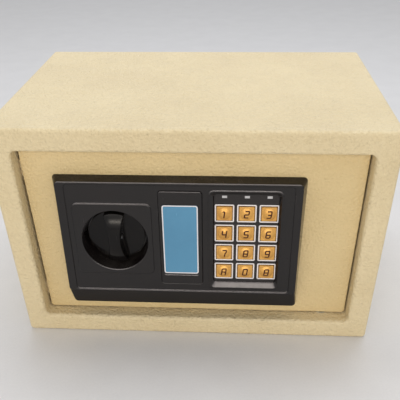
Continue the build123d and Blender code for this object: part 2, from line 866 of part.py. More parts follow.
# Keypad plate behind the pocket, pierced for the keys and the status lights
key_xs = [key_mid_x + key_pitch_x * (column - (key_columns - 1) / 2) for column in range(key_columns)]
key_vs = [up_face(key_mid_z) + key_pitch_z * ((key_rows - 1) / 2 - row) for row in range(key_rows)]
key_points = [(x, v) for v in key_vs for x in key_xs]
light_points = [(x, up_face(light_z)) for x in key_xs]
plate_width = keypad_width + 2 * keypad_lap
plate_height = keypad_height + 2 * keypad_lap
with BuildPart() as keypad_plate:
    with BuildSketch(on_face(plate_depth)):
        with Locations((keypad_mid_x, keypad_mid_v)):
            Rectangle(plate_width, plate_height)
        with Locations(*key_points):
            RectangleRounded(key_size + 2 * key_gap, key_size + 2 * key_gap, key_corner, mode=Mode.SUBTRACT)
        with Locations(*light_points):
            Rectangle(light_width, light_height, mode=Mode.SUBTRACT)
    extrude(amount=-keypad_sheet)
save(keypad_plate.part, "keypad_plate")

# Twelve keys: a square cap with a round dome, kept in by a flange under the plate
dome_sphere = (key_dome_radius**2 + key_dome_height**2) / (2 * key_dome_height)
key_names = ["1", "2", "3", "4", "5", "6", "7", "8", "9", "a", "0", "b"]
for name, (x, v) in zip(key_names, key_points):
    with BuildPart(on_face(key_face_depth)) as key:
        with BuildSketch(on_face(key_face_depth)):
            with Locations((x, v)):
                RectangleRounded(key_size, key_size, key_corner)
        extrude(amount=key_face_depth - flange_depth)
        fillet(key.faces().sort_by(out_of_face)[-1].edges(), key_edge)
        with BuildSketch(on_face(flange_depth)):
            with Locations((x, v)):
                Rectangle(key_size + 2 * key_flange_margin, key_size + 2 * key_flange_margin)
        extrude(amount=-key_flange)
        with Locations((x, v, 0)):
            Sphere(
                dome_sphere,
                arc_size1=degrees(acos(key_dome_radius / dome_sphere)),
                arc_size2=90,
                align=(Align.CENTER, Align.CENTER, Align.MIN),
            )
    save(key.part, f"key_{name}")

# Rubber mat under the keys, with a rim that spaces it off the plate
with BuildPart() as key_mat:
    with BuildSketch(on_face(mat_depth)):
        with Locations((keypad_mid_x, keypad_mid_v)):
            Rectangle(plate_width, plate_height)
        with Locations(*light_points):
            Rectangle(light_width, light_height, mode=Mode.SUBTRACT)
    extrude(amount=-mat_sheet)
    with BuildSketch(on_face(plate_back_depth)):
        with Locations((keypad_mid_x, keypad_mid_v)):
            Rectangle(plate_width, plate_height)
            Rectangle(plate_width - 2 * mat_rim, plate_height - 2 * mat_rim, mode=Mode.SUBTRACT)
    extrude(amount=plate_back_depth - mat_depth)
    with BuildSketch(on_face(mat_depth)):
        with Locations(*key_points):
            Circle(mat_dome_radius)
    extrude(amount=mat_dome_height)
save(key_mat.part, "key_mat")

# Circuit board with the connector for the leads
with BuildPart() as keypad_board:
    with BuildSketch(on_face(board_depth)):
        with Locations((keypad_mid_x, keypad_mid_v)):
            Rectangle(plate_width, plate_height)
    extrude(amount=-board_sheet)
    with BuildSketch(on_face(board_back_depth)):
        with Locations((grommet_x, up_face(grommet_z))):
            Rectangle(connector_width, connector_height)
    extrude(amount=-connector_depth)
save(keypad_board.part, "keypad_board")

# Three status lights that stand on the board and fill the plate's windows
with BuildPart() as status_lights:
    with BuildSketch(on_face(board_depth)):
        with Locations(*light_points):
            Rectangle(light_width - 2 * light_play, light_height - 2 * light_play)
    extrude(amount=board_depth - plate_depth)
save(status_lights.part, "status_lights")

# Knob: a disc with an hourglass grip across it, its crest cut to a dome
knob_plane = Plane(origin=(knob_x, knob_face, knob_z), x_dir=(1, 0, 0), z_dir=(0, -1, 0))
grip_radius = knob_radius - grip_inset
grip_sphere = (grip_radius**2 + grip_end_drop**2) / (2 * grip_end_drop)
grip_end = (grip_radius**2 - (grip_end_width / 2) ** 2) ** 0.5
with BuildPart() as knob:
    with BuildSketch(knob_plane):
        with BuildLine():
            right = ThreePointArc(
                (grip_end_width / 2, -grip_end), (grip_mid_width / 2, 0), (grip_end_width / 2, grip_end)
            )
            over = ThreePointArc(right @ 1, (0, grip_radius), (-grip_end_width / 2, grip_end))
            left = ThreePointArc(over @ 1, (-grip_mid_width / 2, 0), (-grip_end_width / 2, -grip_end))
            ThreePointArc(left @ 1, (0, -grip_radius), right @ 0)
        make_face()
    extrude(amount=grip_rise)
    fillet(knob.edges().filter_by(Axis.Y), grip_corner)
    with Locations((knob_x, knob_face - grip_rise + grip_sphere, knob_z)):
        Sphere(grip_sphere, mode=Mode.INTERSECT)
    fillet(knob.faces().sort_by(Axis.Y)[0].edges(), grip_edge)
    with BuildSketch(knob_plane.offset(-knob_disc)):
        Circle(knob_radius)
    extrude(amount=knob_disc)
    with BuildSketch(knob_plane.offset(-knob_disc)):
        Circle(shaft_radius)
    extrude(amount=knob_socket, mode=Mode.SUBTRACT)
save(knob.part, "knob")

# Knob shaft, from the knob's socket through the bush to the crank
with BuildPart() as knob_shaft:
    with BuildSketch(at_depth(crank_back)):
        with Locations((knob_x, knob_z)):
            Circle(shaft_radius)
    extrude(amount=crank_back - knob_back + knob_socket)
save(knob_shaft.part, "knob_shaft")

# Bush that the shaft runs in, through the console's floor and the door
with BuildPart() as knob_bush:
    with BuildSketch(at_depth(door_back)):
        with Locations((knob_x, knob_z)):
            Circle(knob_bush_radius)
            Circle(shaft_radius + running_clearance, mode=Mode.SUBTRACT)
    extrude(amount=door_sheet + bowl_floor)
save(knob_bush.part, "knob_bush")

# Crank arm, whose pin runs in the carriage's slot
crank_pin_z = knob_z + crank_radius * cos(half_turn)
with BuildPart() as crank_arm:
    with BuildSketch(at_depth(crank_front)):
        with Locations((knob_x, knob_z)):
            Circle(crank_hub_radius)
        with Locations((crank_pin_x, crank_pin_z)):
            Circle(crank_pin_radius + crank_pin_wall)
        make_hull()
        with Locations((knob_x, knob_z)):
            Circle(shaft_radius, mode=Mode.SUBTRACT)
    extrude(amount=-crank_sheet)
    with BuildSketch(at_depth(crank_back)):
        with Locations((crank_pin_x, crank_pin_z)):
            Circle(crank_pin_radius)
    extrude(amount=crank_back - web_back - stud_play)
save(crank_arm.part, "crank_arm")

# Plunger with the collar that its spring pushes on
with BuildPart() as plunger:
    with BuildSketch(Plane.XY.offset(plunger_tip)):
        with Locations((plunger_x, plunger_y)):
            Circle(plunger_radius)
    extrude(amount=plunger_length)
    with BuildSketch(Plane.XY.offset(collar_bottom)):
        with Locations((plunger_x, plunger_y)):
            Circle(collar_radius)
    extrude(amount=collar_height)
save(plunger.part, "plunger")

# Plunger spring, between the collar and the solenoid's frame
spring_length = solenoid_bottom - collar_top - 2 * spring_wire
with BuildPart() as plunger_spring:
    with BuildLine():
        coil = Helix(
            spring_length / spring_turns,
            spring_length,
            spring_radius,
            center=(plunger_x, plunger_y, collar_top + spring_wire),
        )
    with BuildSketch(Plane(origin=coil @ 0, z_dir=coil % 0)):
        Circle(spring_wire)
    sweep()
save(plunger_spring.part, "plunger_spring")

# Solenoid frame: a strap bent round the coil, open to the sides
solenoid_front = door_back + solenoid_spacer
solenoid_mid_y = solenoid_front + solenoid_depth / 2
solenoid_top = solenoid_bottom + solenoid_height
with BuildPart() as solenoid_frame:
    with BuildSketch(Plane.XY.offset(solenoid_bottom)):
        with Locations((plunger_x, solenoid_mid_y)):
            Rectangle(solenoid_width, solenoid_depth)
    extrude(amount=solenoid_height)
    with BuildSketch(Plane.XY.offset(solenoid_bottom + solenoid_sheet)):
        with Locations((plunger_x, solenoid_mid_y + solenoid_sheet)):
            Rectangle(solenoid_width, solenoid_depth)
    extrude(amount=solenoid_height - 2 * solenoid_sheet, mode=Mode.SUBTRACT)
    with BuildSketch(Plane.XY.offset(solenoid_bottom)):
        with Locations((plunger_x, plunger_y)):
            Circle(plunger_radius + coil_bore_play)
    extrude(amount=solenoid_sheet, mode=Mode.SUBTRACT)
save(solenoid_frame.part, "solenoid_frame")

# Coil on its bobbin
with BuildPart() as solenoid_coil:
    with BuildSketch(Plane.XY.offset(solenoid_bottom + solenoid_sheet)):
        with Locations((plunger_x, plunger_y)):
            Circle(coil_radius)
            Circle(plunger_radius + coil_bore_play, mode=Mode.SUBTRACT)
    extrude(amount=solenoid_height - 2 * solenoid_sheet)
save(solenoid_coil.part, "solenoid_coil")

# Spacers between the solenoid's frame and the door, with their screws
fixing_points = [
    (plunger_x - solenoid_width / 2 + fixing_inset_x, solenoid_bottom + fixing_inset_z),
    (plunger_x + solenoid_width / 2 - fixing_inset_x, solenoid_top - fixing_inset_z),
]
with BuildPart() as solenoid_fixings:
    for level, length, radius in (
        (door_back, solenoid_spacer, fixing_radius),
        (solenoid_front + solenoid_sheet, fixing_head, fixing_head_radius),
    ):
        with BuildSketch(at_depth(level)):
            with Locations(*fixing_points):
                Circle(radius)
        extrude(amount=-length)
save(solenoid_fixings.part, "solenoid_fixings")

# Lock cylinder with its head on the door, bored for the plug
with BuildPart() as lock_cylinder:
    with BuildSketch(at_depth(door_back + lock_depth)):
        with Locations((lock_x, lock_z)):
            Circle(lock_radius)
    extrude(amount=lock_depth + door_sheet)
    with BuildSketch(at_depth(door_front)):
        with Locations((lock_x, lock_z)):
            Circle(lock_head_radius)
    extrude(amount=lock_head)
    with BuildSketch(at_depth(door_back + lock_depth)):
        with Locations((lock_x, lock_z)):
            Circle(plug_radius + running_clearance)
    extrude(amount=lock_depth + door_sheet + lock_head, mode=Mode.SUBTRACT)
save(lock_cylinder.part, "lock_cylinder")

# Nut that holds the lock behind the door
with BuildPart() as lock_nut:
    with BuildSketch(at_depth(door_back)):
        with Locations((lock_x, lock_z)):
            RegularPolygon(lock_nut_radius, 6)
            Circle(lock_radius, mode=Mode.SUBTRACT)
    extrude(amount=-lock_nut_height)
save(lock_nut.part, "lock_nut")

# Key plug with its keyway
plug_front = door_front - lock_head - plug_proud
with BuildPart() as key_plug:
    with BuildSketch(at_depth(plug_back)):
        with Locations((lock_x, lock_z)):
            Circle(plug_radius)
    extrude(amount=plug_back - plug_front)
    with BuildSketch(at_depth(plug_front)):
        with Locations((lock_x, lock_z)):
            Rectangle(keyway_width, keyway_height)
    extrude(amount=-keyway_depth, mode=Mode.SUBTRACT)
    with BuildSketch(at_depth(plug_back)):
        with Locations((lock_x, lock_z)):
            Circle(cam_screw_radius)
    extrude(amount=cam_screw_length, mode=Mode.SUBTRACT)
save(key_plug.part, "key_plug")

# Cam on the plug, pointing down until the key turns it
with BuildPart() as lock_cam:
    with BuildSketch(at_depth(plug_back)):
        with Locations((lock_x, lock_z)):
            Circle(plug_radius)
        with Locations((lock_x, lock_z - cam_length + cam_width / 2)):
            Circle(cam_width / 2)
        with Locations((lock_x, lock_z - (cam_length - cam_width / 2) / 2)):
            Rectangle(cam_width, cam_length - cam_width / 2)
        with Locations((lock_x, lock_z)):
            Circle(cam_screw_radius, mode=Mode.SUBTRACT)
    extrude(amount=-cam_sheet)
save(lock_cam.part, "lock_cam")

# Screw that clamps the cam
with BuildPart() as cam_screw:
    with BuildSketch(at_depth(cam_back)):
        with Locations((lock_x, lock_z)):
            Circle(cam_screw_radius)
    extrude(amount=cam_sheet + cam_screw_length)
    with BuildSketch(at_depth(cam_back)):
        with Locations((lock_x, lock_z)):
            Circle(cam_screw_head_radius)
    extrude(amount=-screw_head)
save(cam_screw.part, "cam_screw")

# Cover plate over the lock, seated in the console's face, with a hollow plug in the access window
label_recess_width = label_width + 2 * label_recess_margin_side
label_recess_bottom = up_face(label_z) - label_height / 2 - label_recess_margin_bottom
label_recess_top = up_face(label_z) + label_height / 2 + label_recess_margin_top
label_recess_mid_v, label_recess_height = span(label_recess_bottom, label_recess_top)
lug_width = access_width - 2 * seat_clearance
lug_height = access_height - 2 * seat_clearance
with BuildPart() as override_cover:
    with BuildSketch(on_face(cover_seat_depth)):
        with Locations((cover_plate_mid_x, cover_plate_mid_v)):
            RectangleRounded(cover_plate_width, cover_plate_height, cover_plate_corner - cover_plate_fit)
    extrude(amount=cover_plate_seat + cover_plate_raise)
    cover_plate_face = override_cover.faces().sort_by(out_of_face)[-1]
    fillet(cover_plate_face.edges(), cover_plate_edge)
    with BuildSketch(on_face(cover_seat_depth)):
        with Locations((lock_x, up_face(lock_z))):
            Rectangle(lug_width, lug_height)
            Rectangle(lug_width - 2 * access_lug_wall, lug_height - 2 * access_lug_wall, mode=Mode.SUBTRACT)
    extrude(amount=-access_lug)
    with BuildSketch(on_face(cover_plate_depth)):
        with Locations((label_x, label_recess_mid_v)):
            RectangleRounded(label_recess_width, label_recess_height, label_corner)
    extrude(amount=-label_recess, mode=Mode.SUBTRACT)
save(override_cover.part, "override_cover")

# Label in the cover plate's recess
with BuildPart() as label:
    with BuildSketch(on_face(cover_plate_depth + label_recess)):
        with Locations((label_x, up_face(label_z))):
            RectangleRounded(label_width, label_height, label_corner)
    extrude(amount=label_sheet)
save(label.part, "label")

# Inner lock cover, a sheet box over the works, open at the bolts, the battery box and the reset switch
cover_mid_x, cover_width = span(cover_left, cover_right)
cover_mid_z, cover_height = span(cover_bottom, cover_top)
battery_width = cells_width + 2 * battery_wall
battery_height = cells_height + 2 * battery_wall
post_points = [
    (x, z)
    for x in (cover_left + post_inset, cover_right - post_inset)
    for z in (cover_bottom + post_inset, cover_top - post_inset)
]
with BuildPart() as lock_cover:
    with BuildSketch(at_depth(door_back)):
        with Locations((cover_mid_x, cover_mid_z)):
            RectangleRounded(cover_width, cover_height, cover_corner)
    extrude(amount=-cover_depth)
    fillet(lock_cover.faces().sort_by(Axis.Y)[-1].edges(), cover_edge)
    offset(amount=-cover_sheet, openings=lock_cover.faces().sort_by(Axis.Y)[0])
    with BuildSketch(Plane.YZ.offset(cover_left)):
        with Locations(*[(bolt_y, z) for z in bolt_zs]):
            Circle(bolt_radius + bolt_hole_play)
    extrude(amount=cover_sheet, mode=Mode.SUBTRACT)
    with BuildSketch(at_depth(cover_inside)):
        with Locations((battery_x, battery_z)):
            Rectangle(battery_width, battery_height)
        with Locations((reset_x, reset_z)):
            Circle(reset_body_radius)
        with Locations(*post_points):
            Circle(post_screw_radius)
    extrude(amount=-cover_sheet, mode=Mode.SUBTRACT)
save(lock_cover.part, "lock_cover")

# Posts on the door that carry the cover
with BuildPart() as cover_posts:
    with BuildSketch(at_depth(door_back)):
        with Locations(*post_points):
            Circle(post_radius)
    extrude(amount=door_back - cover_inside)
    with BuildSketch(at_depth(cover_inside)):
        with Locations(*post_points):
            Circle(post_screw_radius)
    extrude(amount=post_screw_length, mode=Mode.SUBTRACT)
save(cover_posts.part, "cover_posts")

# Screws that hold the cover to its posts
with BuildPart() as cover_screws:
    with BuildSketch(at_depth(cover_back)):
        with Locations(*post_points):
            Circle(post_screw_radius)
    extrude(amount=cover_sheet + post_screw_length)
    with BuildSketch(at_depth(cover_back)):
        with Locations(*post_points):
            Circle(post_screw_head_radius)
    extrude(amount=-screw_head)
save(cover_screws.part, "cover_screws")

# Battery box, let into the cover, with a lip outside
with BuildPart() as battery_box:
    with BuildSketch(at_depth(battery_front_y)):
        with Locations((battery_x, battery_z)):
            Rectangle(battery_width, battery_height)
    extrude(amount=battery_front_y - battery_back_y)
    with BuildSketch(at_depth(cover_back)):
        with Locations((battery_x, battery_z)):
            RectangleRounded(battery_width + 2 * battery_lip, battery_height + 2 * battery_lip, battery_lip)
    extrude(amount=-battery_lip_sheet)
    with BuildSketch(at_depth(battery_floor_y)):
        with Locations((battery_x, battery_z)):
            Rectangle(cells_width, cells_height)
    extrude(amount=battery_floor_y - battery_back_y, mode=Mode.SUBTRACT)
save(battery_box.part, "battery_box")

# Battery lid, pressed into the mouth of the box
with BuildPart() as battery_lid:
    with BuildSketch(at_depth(battery_back_y)):
        with Locations((battery_x, battery_z)):
            Rectangle(cells_width - 2 * seat_clearance, cells_height - 2 * seat_clearance)
    extrude(amount=battery_lid_sheet)
    fillet(battery_lid.faces().sort_by(Axis.Y)[-1].edges(), battery_lid_edge)
save(battery_lid.part, "battery_lid")

# Four cells side by side, each second one turned over
cell_xs = [battery_x + cell_pitch * (i - (cell_count - 1) / 2) for i in range(cell_count)]
cell_bottom = battery_z - (cell_length + cell_nub) / 2
with BuildPart() as batteries:
    for i, x in enumerate(cell_xs):
        body_bottom = cell_bottom + cell_nub * (i % 2)
        nub_bottom = cell_bottom if i % 2 else cell_bottom + cell_length
        for bottom, length, radius in (
            (body_bottom, cell_length, cell_radius),
            (nub_bottom, cell_nub, cell_nub_radius),
        ):
            with BuildSketch(Plane.XY.offset(bottom)):
                with Locations((x, cell_y)):
                    Circle(radius)
            extrude(amount=length)
save(batteries.part, "batteries")

# Contact plates and their springs at both ends of each cell
contact_width = cell_pitch - 2 * contact_sheet
contact_reach = contact_space - contact_sheet
box_bottom = battery_z - cells_height / 2
with BuildPart() as battery_contacts:
    with BuildSketch(Plane.XY.offset(box_bottom)):
        with Locations(*[(x, cell_y) for x in cell_xs]):
            Rectangle(contact_width, contact_width)
    extrude(amount=contact_sheet)
    with BuildSketch(Plane.XY.offset(box_bottom + contact_sheet)):
        with Locations(*[(x, cell_y) for x in cell_xs]):
            Circle(cell_nub_radius)
    extrude(amount=contact_reach)
    mirror(about=Plane.XY.offset(battery_z))
save(battery_contacts.part, "battery_contacts")

# Reset switch, a tube with a lip outside the cover
with BuildPart() as reset_switch:
    with BuildSketch(at_depth(cover_back - reset_body_length)):
        with Locations((reset_x, reset_z)):
            Circle(reset_body_radius)
    extrude(amount=-reset_body_length)
    with BuildSketch(at_depth(cover_back)):
        with Locations((reset_x, reset_z)):
            Circle(reset_lip_radius)
    extrude(amount=-reset_lip)
    with BuildSketch(at_depth(cover_back - reset_body_length + reset_base)):
        with Locations((reset_x, reset_z)):
            Circle(reset_button_radius + reset_play)
    extrude(amount=reset_base - reset_body_length - reset_lip, mode=Mode.SUBTRACT)
save(reset_switch.part, "reset_switch")

# Reset button
reset_button_back = cover_back + reset_lip + reset_button_proud
with BuildPart() as reset_button:
    with BuildSketch(at_depth(reset_button_back)):
        with Locations((reset_x, reset_z)):
            Circle(reset_button_radius)
    extrude(amount=reset_button_length)
    fillet(reset_button.faces().sort_by(Axis.Y)[-1].edges(), reset_button_edge)
save(reset_button.part, "reset_button")

# Grommet in the door for the leads
with BuildPart() as grommet:
    for level, length, radius in (
        (door_front, -grommet_lip, grommet_lip_radius),
        (door_front, door_sheet, grommet_radius),
        (door_back, grommet_lip, grommet_lip_radius),
    ):
        with BuildSketch(at_depth(level)):
            with Locations((grommet_x, grommet_z)):
                Circle(radius)
        extrude(amount=-length)
    with BuildSketch(at_depth(door_front - grommet_lip)):
        with Locations((grommet_x, grommet_z)):
            Circle(grommet_bore_radius)
    extrude(amount=-door_sheet - 2 * grommet_lip, mode=Mode.SUBTRACT)
save(grommet.part, "grommet")

# Leads from the board's connector through the grommet to the coil, the battery box and the switch
lead_start_y = face_y(grommet_z + lead_radius, connector_back_depth)
lead_y = door_back + lead_standoff
reset_front = cover_back - reset_body_length
coil_side = plunger_x + coil_radius
coil_lead_z = solenoid_top - fixing_inset_z
lead_routes = (
    (
        (lead_exit_bend, lead_bend, lead_bend),
        (grommet_x - lead_spacing, lead_start_y, grommet_z),
        (grommet_x - lead_spacing, lead_y, grommet_z),
        (grommet_x - lead_spacing, lead_y, coil_lead_z),
        (coil_side + lead_tail, plunger_y, coil_lead_z),
        (coil_side, plunger_y, coil_lead_z),
    ),
    (
        (lead_exit_bend, lead_bend, lead_entry_bend),
        (grommet_x, lead_start_y, grommet_z),
        (grommet_x, lead_y, grommet_z),
        (grommet_x, lead_y, reset_z),
        (reset_x, lead_y, reset_z),
        (reset_x, reset_front, reset_z),
    ),
    (
        (lead_exit_bend, lead_entry_bend),
        (grommet_x + lead_spacing, lead_start_y, grommet_z),
        (grommet_x + lead_spacing, lead_y, grommet_z),
        (battery_x, lead_y, grommet_z),
        (battery_x, battery_front_y, grommet_z),
    ),
)
with BuildPart() as wire_leads:
    for bends, *points in lead_routes:
        print(f"lead bends {bends} mm on a lead {2 * lead_radius} mm thick")
        with BuildLine() as route:
            FilletPolyline(*points, radius=list(bends))
        with BuildSketch(Plane(origin=route.line @ 0, z_dir=route.line % 0)):
            Circle(lead_radius)
        sweep(path=route.line)
save(wire_leads.part, "wire_leads")
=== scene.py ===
# %% [markdown]
# # A small electronic safe
# The safe is a folded steel box with a hinged door. The door carries a black console with a turn
# knob, a cover plate over the override lock, and twelve gold keys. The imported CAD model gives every
# solid and says how it moves. This lesson gives those solids their finishes, and adds what is too
# fine or too soft for a solid, such as printed frames, key figures, crosses in screw heads and felt.

# %% The frame
import json
from math import cos, pi, radians, sin

import bmesh
import bpy
from mathutils import Matrix, Vector, noise


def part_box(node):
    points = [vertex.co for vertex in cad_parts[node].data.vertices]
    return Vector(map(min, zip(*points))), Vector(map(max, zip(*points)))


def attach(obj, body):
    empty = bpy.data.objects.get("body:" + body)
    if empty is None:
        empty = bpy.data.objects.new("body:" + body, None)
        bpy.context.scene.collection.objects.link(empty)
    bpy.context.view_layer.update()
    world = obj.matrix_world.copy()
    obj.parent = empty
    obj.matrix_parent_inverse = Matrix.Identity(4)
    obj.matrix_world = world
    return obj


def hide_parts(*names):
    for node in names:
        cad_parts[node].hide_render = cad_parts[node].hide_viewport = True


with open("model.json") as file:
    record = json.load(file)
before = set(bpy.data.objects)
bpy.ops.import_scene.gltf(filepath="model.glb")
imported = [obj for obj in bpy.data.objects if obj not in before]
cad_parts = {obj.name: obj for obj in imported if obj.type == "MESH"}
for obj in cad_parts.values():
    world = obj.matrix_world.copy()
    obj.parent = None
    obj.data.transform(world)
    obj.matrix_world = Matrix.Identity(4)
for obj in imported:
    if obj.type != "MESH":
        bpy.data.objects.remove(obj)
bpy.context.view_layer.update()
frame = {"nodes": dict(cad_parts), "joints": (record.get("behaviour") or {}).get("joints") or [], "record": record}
mm = 0.001
nodes = frame["nodes"]
joints = {joint["name"]: joint for joint in frame["joints"]}

# %% [markdown]
# ## Camera
# The camera stands a little right of the middle, above the safe, and looks down on it. Its focal
# length is in pixels of a 400 pixel picture, and a lens in millimetres follows from the sensor's
# width. The middle of the lens isn't the middle of the picture, and the shift moves it there.

# %% Camera
picture = 400
focal = 550.2
lens_middle = (204.2, 241.9)
yaw, pitch, roll = radians(3.49), radians(-34.65), radians(-0.90)
camera_place = Vector((32.1, -469.8, 359.2)) * mm

camera_data = bpy.data.cameras.new("camera")
camera_data.sensor_width = 36
camera_data.lens = focal / picture * camera_data.sensor_width
camera_data.shift_x = (picture / 2 - lens_middle[0]) / picture
camera_data.shift_y = (lens_middle[1] - picture / 2) / picture
camera_data.clip_start = 0.01
camera = bpy.data.objects.new("camera", camera_data)
camera.matrix_world = (
    Matrix.Translation(camera_place)
    @ Matrix.Rotation(yaw, 4, "Z")
    @ Matrix.Rotation(pi / 2 + pitch, 4, "X")
    @ Matrix.Rotation(roll, 4, "Z")
)
bpy.context.scene.collection.objects.link(camera)
bpy.context.scene.camera = camera
print("lens", round(camera_data.lens, 2), "mm")

# %% [markdown]
# ## Helpers for node trees
# A node tree in code is a long list of the same three steps: add a node, set its values, link its
# sockets. One helper does all three. The others are short names for the nodes that come up most.
# The last one turns a colour as a screen shows it into the linear colour that shaders work with.


# %% Helpers for node trees
def put(tree, kind, inputs=None, **settings):
    """Adds a node. Each input is a plain value or the socket that feeds it."""
    made = tree.nodes.new(kind)
    for name, value in settings.items():
        setattr(made, name, value)
    for name, value in (inputs or {}).items():
        if isinstance(value, bpy.types.NodeSocket):
            tree.links.new(value, made.inputs[name])
        else:
            made.inputs[name].default_value = value
    return made.outputs


def maths(tree, operation, *values):
    return put(tree, "ShaderNodeMath", dict(enumerate(values)), operation=operation)[0]


def ranged(tree, value, low, high, to_low=0.0, to_high=1.0):
    limits = {"Value": value, "From Min": low, "From Max": high, "To Min": to_low, "To Max": to_high}
    return put(tree, "ShaderNodeMapRange", limits)["Result"]


def mixed(tree, share, low, high):
    return put(tree, "ShaderNodeMix", {0: share, 2: low, 3: high})[0]


def dot(tree, first, second):
    pair = {0: first, 1: second}
    return put(tree, "ShaderNodeVectorMath", pair, operation="DOT_PRODUCT")["Value"]


def linear(red, green, blue):
    """A colour in screen steps of 0 to 255 as linear red, green, blue and alpha."""
    parts = [step / 255 for step in (red, green, blue)]
    return tuple(p / 12.92 if p <= 0.04045 else ((p + 0.055) / 1.055) ** 2.4 for p in parts) + (1.0,)


# %% [markdown]
# ## Lamps
# A wide lamp overhead makes the top the brightest face, as under a room's ceiling lights. Two long
# strips stand in front, one low and one higher. They light the door, and what is glossy and slopes
# upwards mirrors them towards the camera: the low one in the knob's grip, the high one in the lower
# wall of the keypad's pocket. Each lamp has a place and an aim in metres, a size and a power.

# %% Lamps
scene = bpy.context.scene
scene.view_settings.view_transform = "Standard"


def lamp(name, place, aim, size, power, colour):
    data = bpy.data.lights.new(name, "AREA")
    data.shape = "RECTANGLE"
    data.size, data.size_y = size
    data.energy = power
    data.color = colour
    made = bpy.data.objects.new(name, data)
    made.location = place
    made.rotation_euler = (Vector(aim) - Vector(place)).to_track_quat("-Z", "Y").to_euler()
    scene.collection.objects.link(made)


cool, warm = (0.97, 0.98, 1.0), (1.0, 0.91, 0.79)
low_door = (0, -0.1, 0.06)
lamp("overhead", (0.05, 0.3, 1.25), (0, 0, 0.1), (1.1, 0.6), 7.9, cool)
lamp("low_strip", (0.0, -1.50, 0.44), low_door, (1.2, 0.08), 5.2, warm)
lamp("high_strip", (0.0, -1.36, 0.92), low_door, (1.9, 0.14), 4.2, warm)
print("lamps", [data.name for data in bpy.data.lights])

# %% [markdown]
# ## World
# The world gives even light from all sides, at half strength. It shows full white to the camera, to
# gloss and through glass, so that the background is pale without more light on the safe.

# %% World
world_light = 0.5
world = bpy.data.worlds.new("studio")
world.use_nodes = True
scene.world = world
sky = world.node_tree
background = sky.nodes["Background"]
background.inputs["Color"].default_value = (1, 1, 1, 1)
ray = put(sky, "ShaderNodeLightPath")
seen = maths(sky, "MAXIMUM", ray["Is Camera Ray"], ray["Is Glossy Ray"])
seen = maths(sky, "MAXIMUM", seen, ray["Is Transmission Ray"])
sky.links.new(ranged(sky, seen, 0.0, 1.0, world_light, 1.0), background.inputs["Strength"])
print("world light", world_light)

# %% [markdown]
# ## Floor
# The safe stands on a plain pale floor of eight metres, so that its edges are far away. It is stage,
# not a piece of the safe, and gets its paint with the other finishes below.

# %% Floor
floor_half = 4.0
floor_signs = ((-1, -1), (1, -1), (1, 1), (-1, 1))
floor_mesh = bpy.data.meshes.new("floor")
floor_corners = [(x * floor_half, y * floor_half, 0) for x, y in floor_signs]
floor_mesh.from_pydata(floor_corners, [], [(0, 1, 2, 3)])
floor = bpy.data.objects.new("floor", floor_mesh)
scene.collection.objects.link(floor)
print("floor", 2 * floor_half, "m wide")

# %% [markdown]
# ## Effects that many finishes share
# Each effect is a shader node group that is built once. It reads the place on the object in metres,
# so a grain of 2 mm is that size on every piece. A group puts out masks and heights only, and each
# material decides what they do to its colour, roughness and bump. Nearly all values of a noise lie
# close to its middle, so a narrow band of them is spread over the whole range.

# %% A frame for shader groups
noise_band = (0.35, 0.65)


def effect(name, inputs, outputs):
    tree = bpy.data.node_groups.new(name, "ShaderNodeTree")
    for label, value in inputs.items():
        socket = tree.interface.new_socket(label, in_out="INPUT", socket_type="NodeSocketFloat")
        socket.default_value = value
    for label in outputs:
        tree.interface.new_socket(label, in_out="OUTPUT", socket_type="NodeSocketFloat")
    given = tree.nodes.new("NodeGroupInput").outputs
    result = tree.nodes.new("NodeGroupOutput").inputs
    place = put(tree, "ShaderNodeTexCoord")["Object"]
    return tree, given, result, place


def clouds(tree, place, scale, detail=3.0, roughness=0.55):
    values = {"Vector": place, "Scale": scale, "Detail": detail, "Roughness": roughness}
    return put(tree, "ShaderNodeTexNoise", values)["Fac"]


def facing_up(tree):
    """How far the surface faces up, from -1 to 1."""
    normal = put(tree, "ShaderNodeTexCoord")["Normal"]
    return put(tree, "ShaderNodeSeparateXYZ", {0: normal})["Z"]


# %% [markdown]
# ### Powder coat
# Powder paint melts into a skin of soft lumps, like the peel of an orange. Round cells give the
# lumps and a finer noise breaks them up. A slow noise changes the tone a little across a panel, and
# the crumbs speckle it.

# %% Powder coat
speck_share, slow_share = 0.35, 0.65
powder_coat, given, result, place = effect("powder_coat", {"Grain": 2.0 * mm}, ["Height", "Tone"])
per_metre = maths(powder_coat, "DIVIDE", 1.0, given["Grain"])
cells = {"Vector": place, "Scale": per_metre, "Smoothness": 0.8}
lumps = put(powder_coat, "ShaderNodeTexVoronoi", cells, feature="SMOOTH_F1")["Distance"]
crumbs = clouds(powder_coat, place, per_metre, 2.0)
powder_coat.links.new(maths(powder_coat, "SUBTRACT", crumbs, lumps), result["Height"])
slow = clouds(powder_coat, place, 14.0, 4.0)
speck = maths(powder_coat, "MULTIPLY", ranged(powder_coat, crumbs, *noise_band), speck_share)
tone = maths(powder_coat, "ADD", ranged(powder_coat, slow, *noise_band, 0.0, slow_share), speck)
powder_coat.links.new(tone, result["Tone"])
print("powder_coat nodes", len(powder_coat.nodes))

# %% [markdown]
# ### Moulded and brushed surfaces
# A moulded part copies the fine spark-eroded skin of its mould, which is plain fine noise. Rolled or
# brushed metal has the same noise drawn out along one direction, so one group makes both.

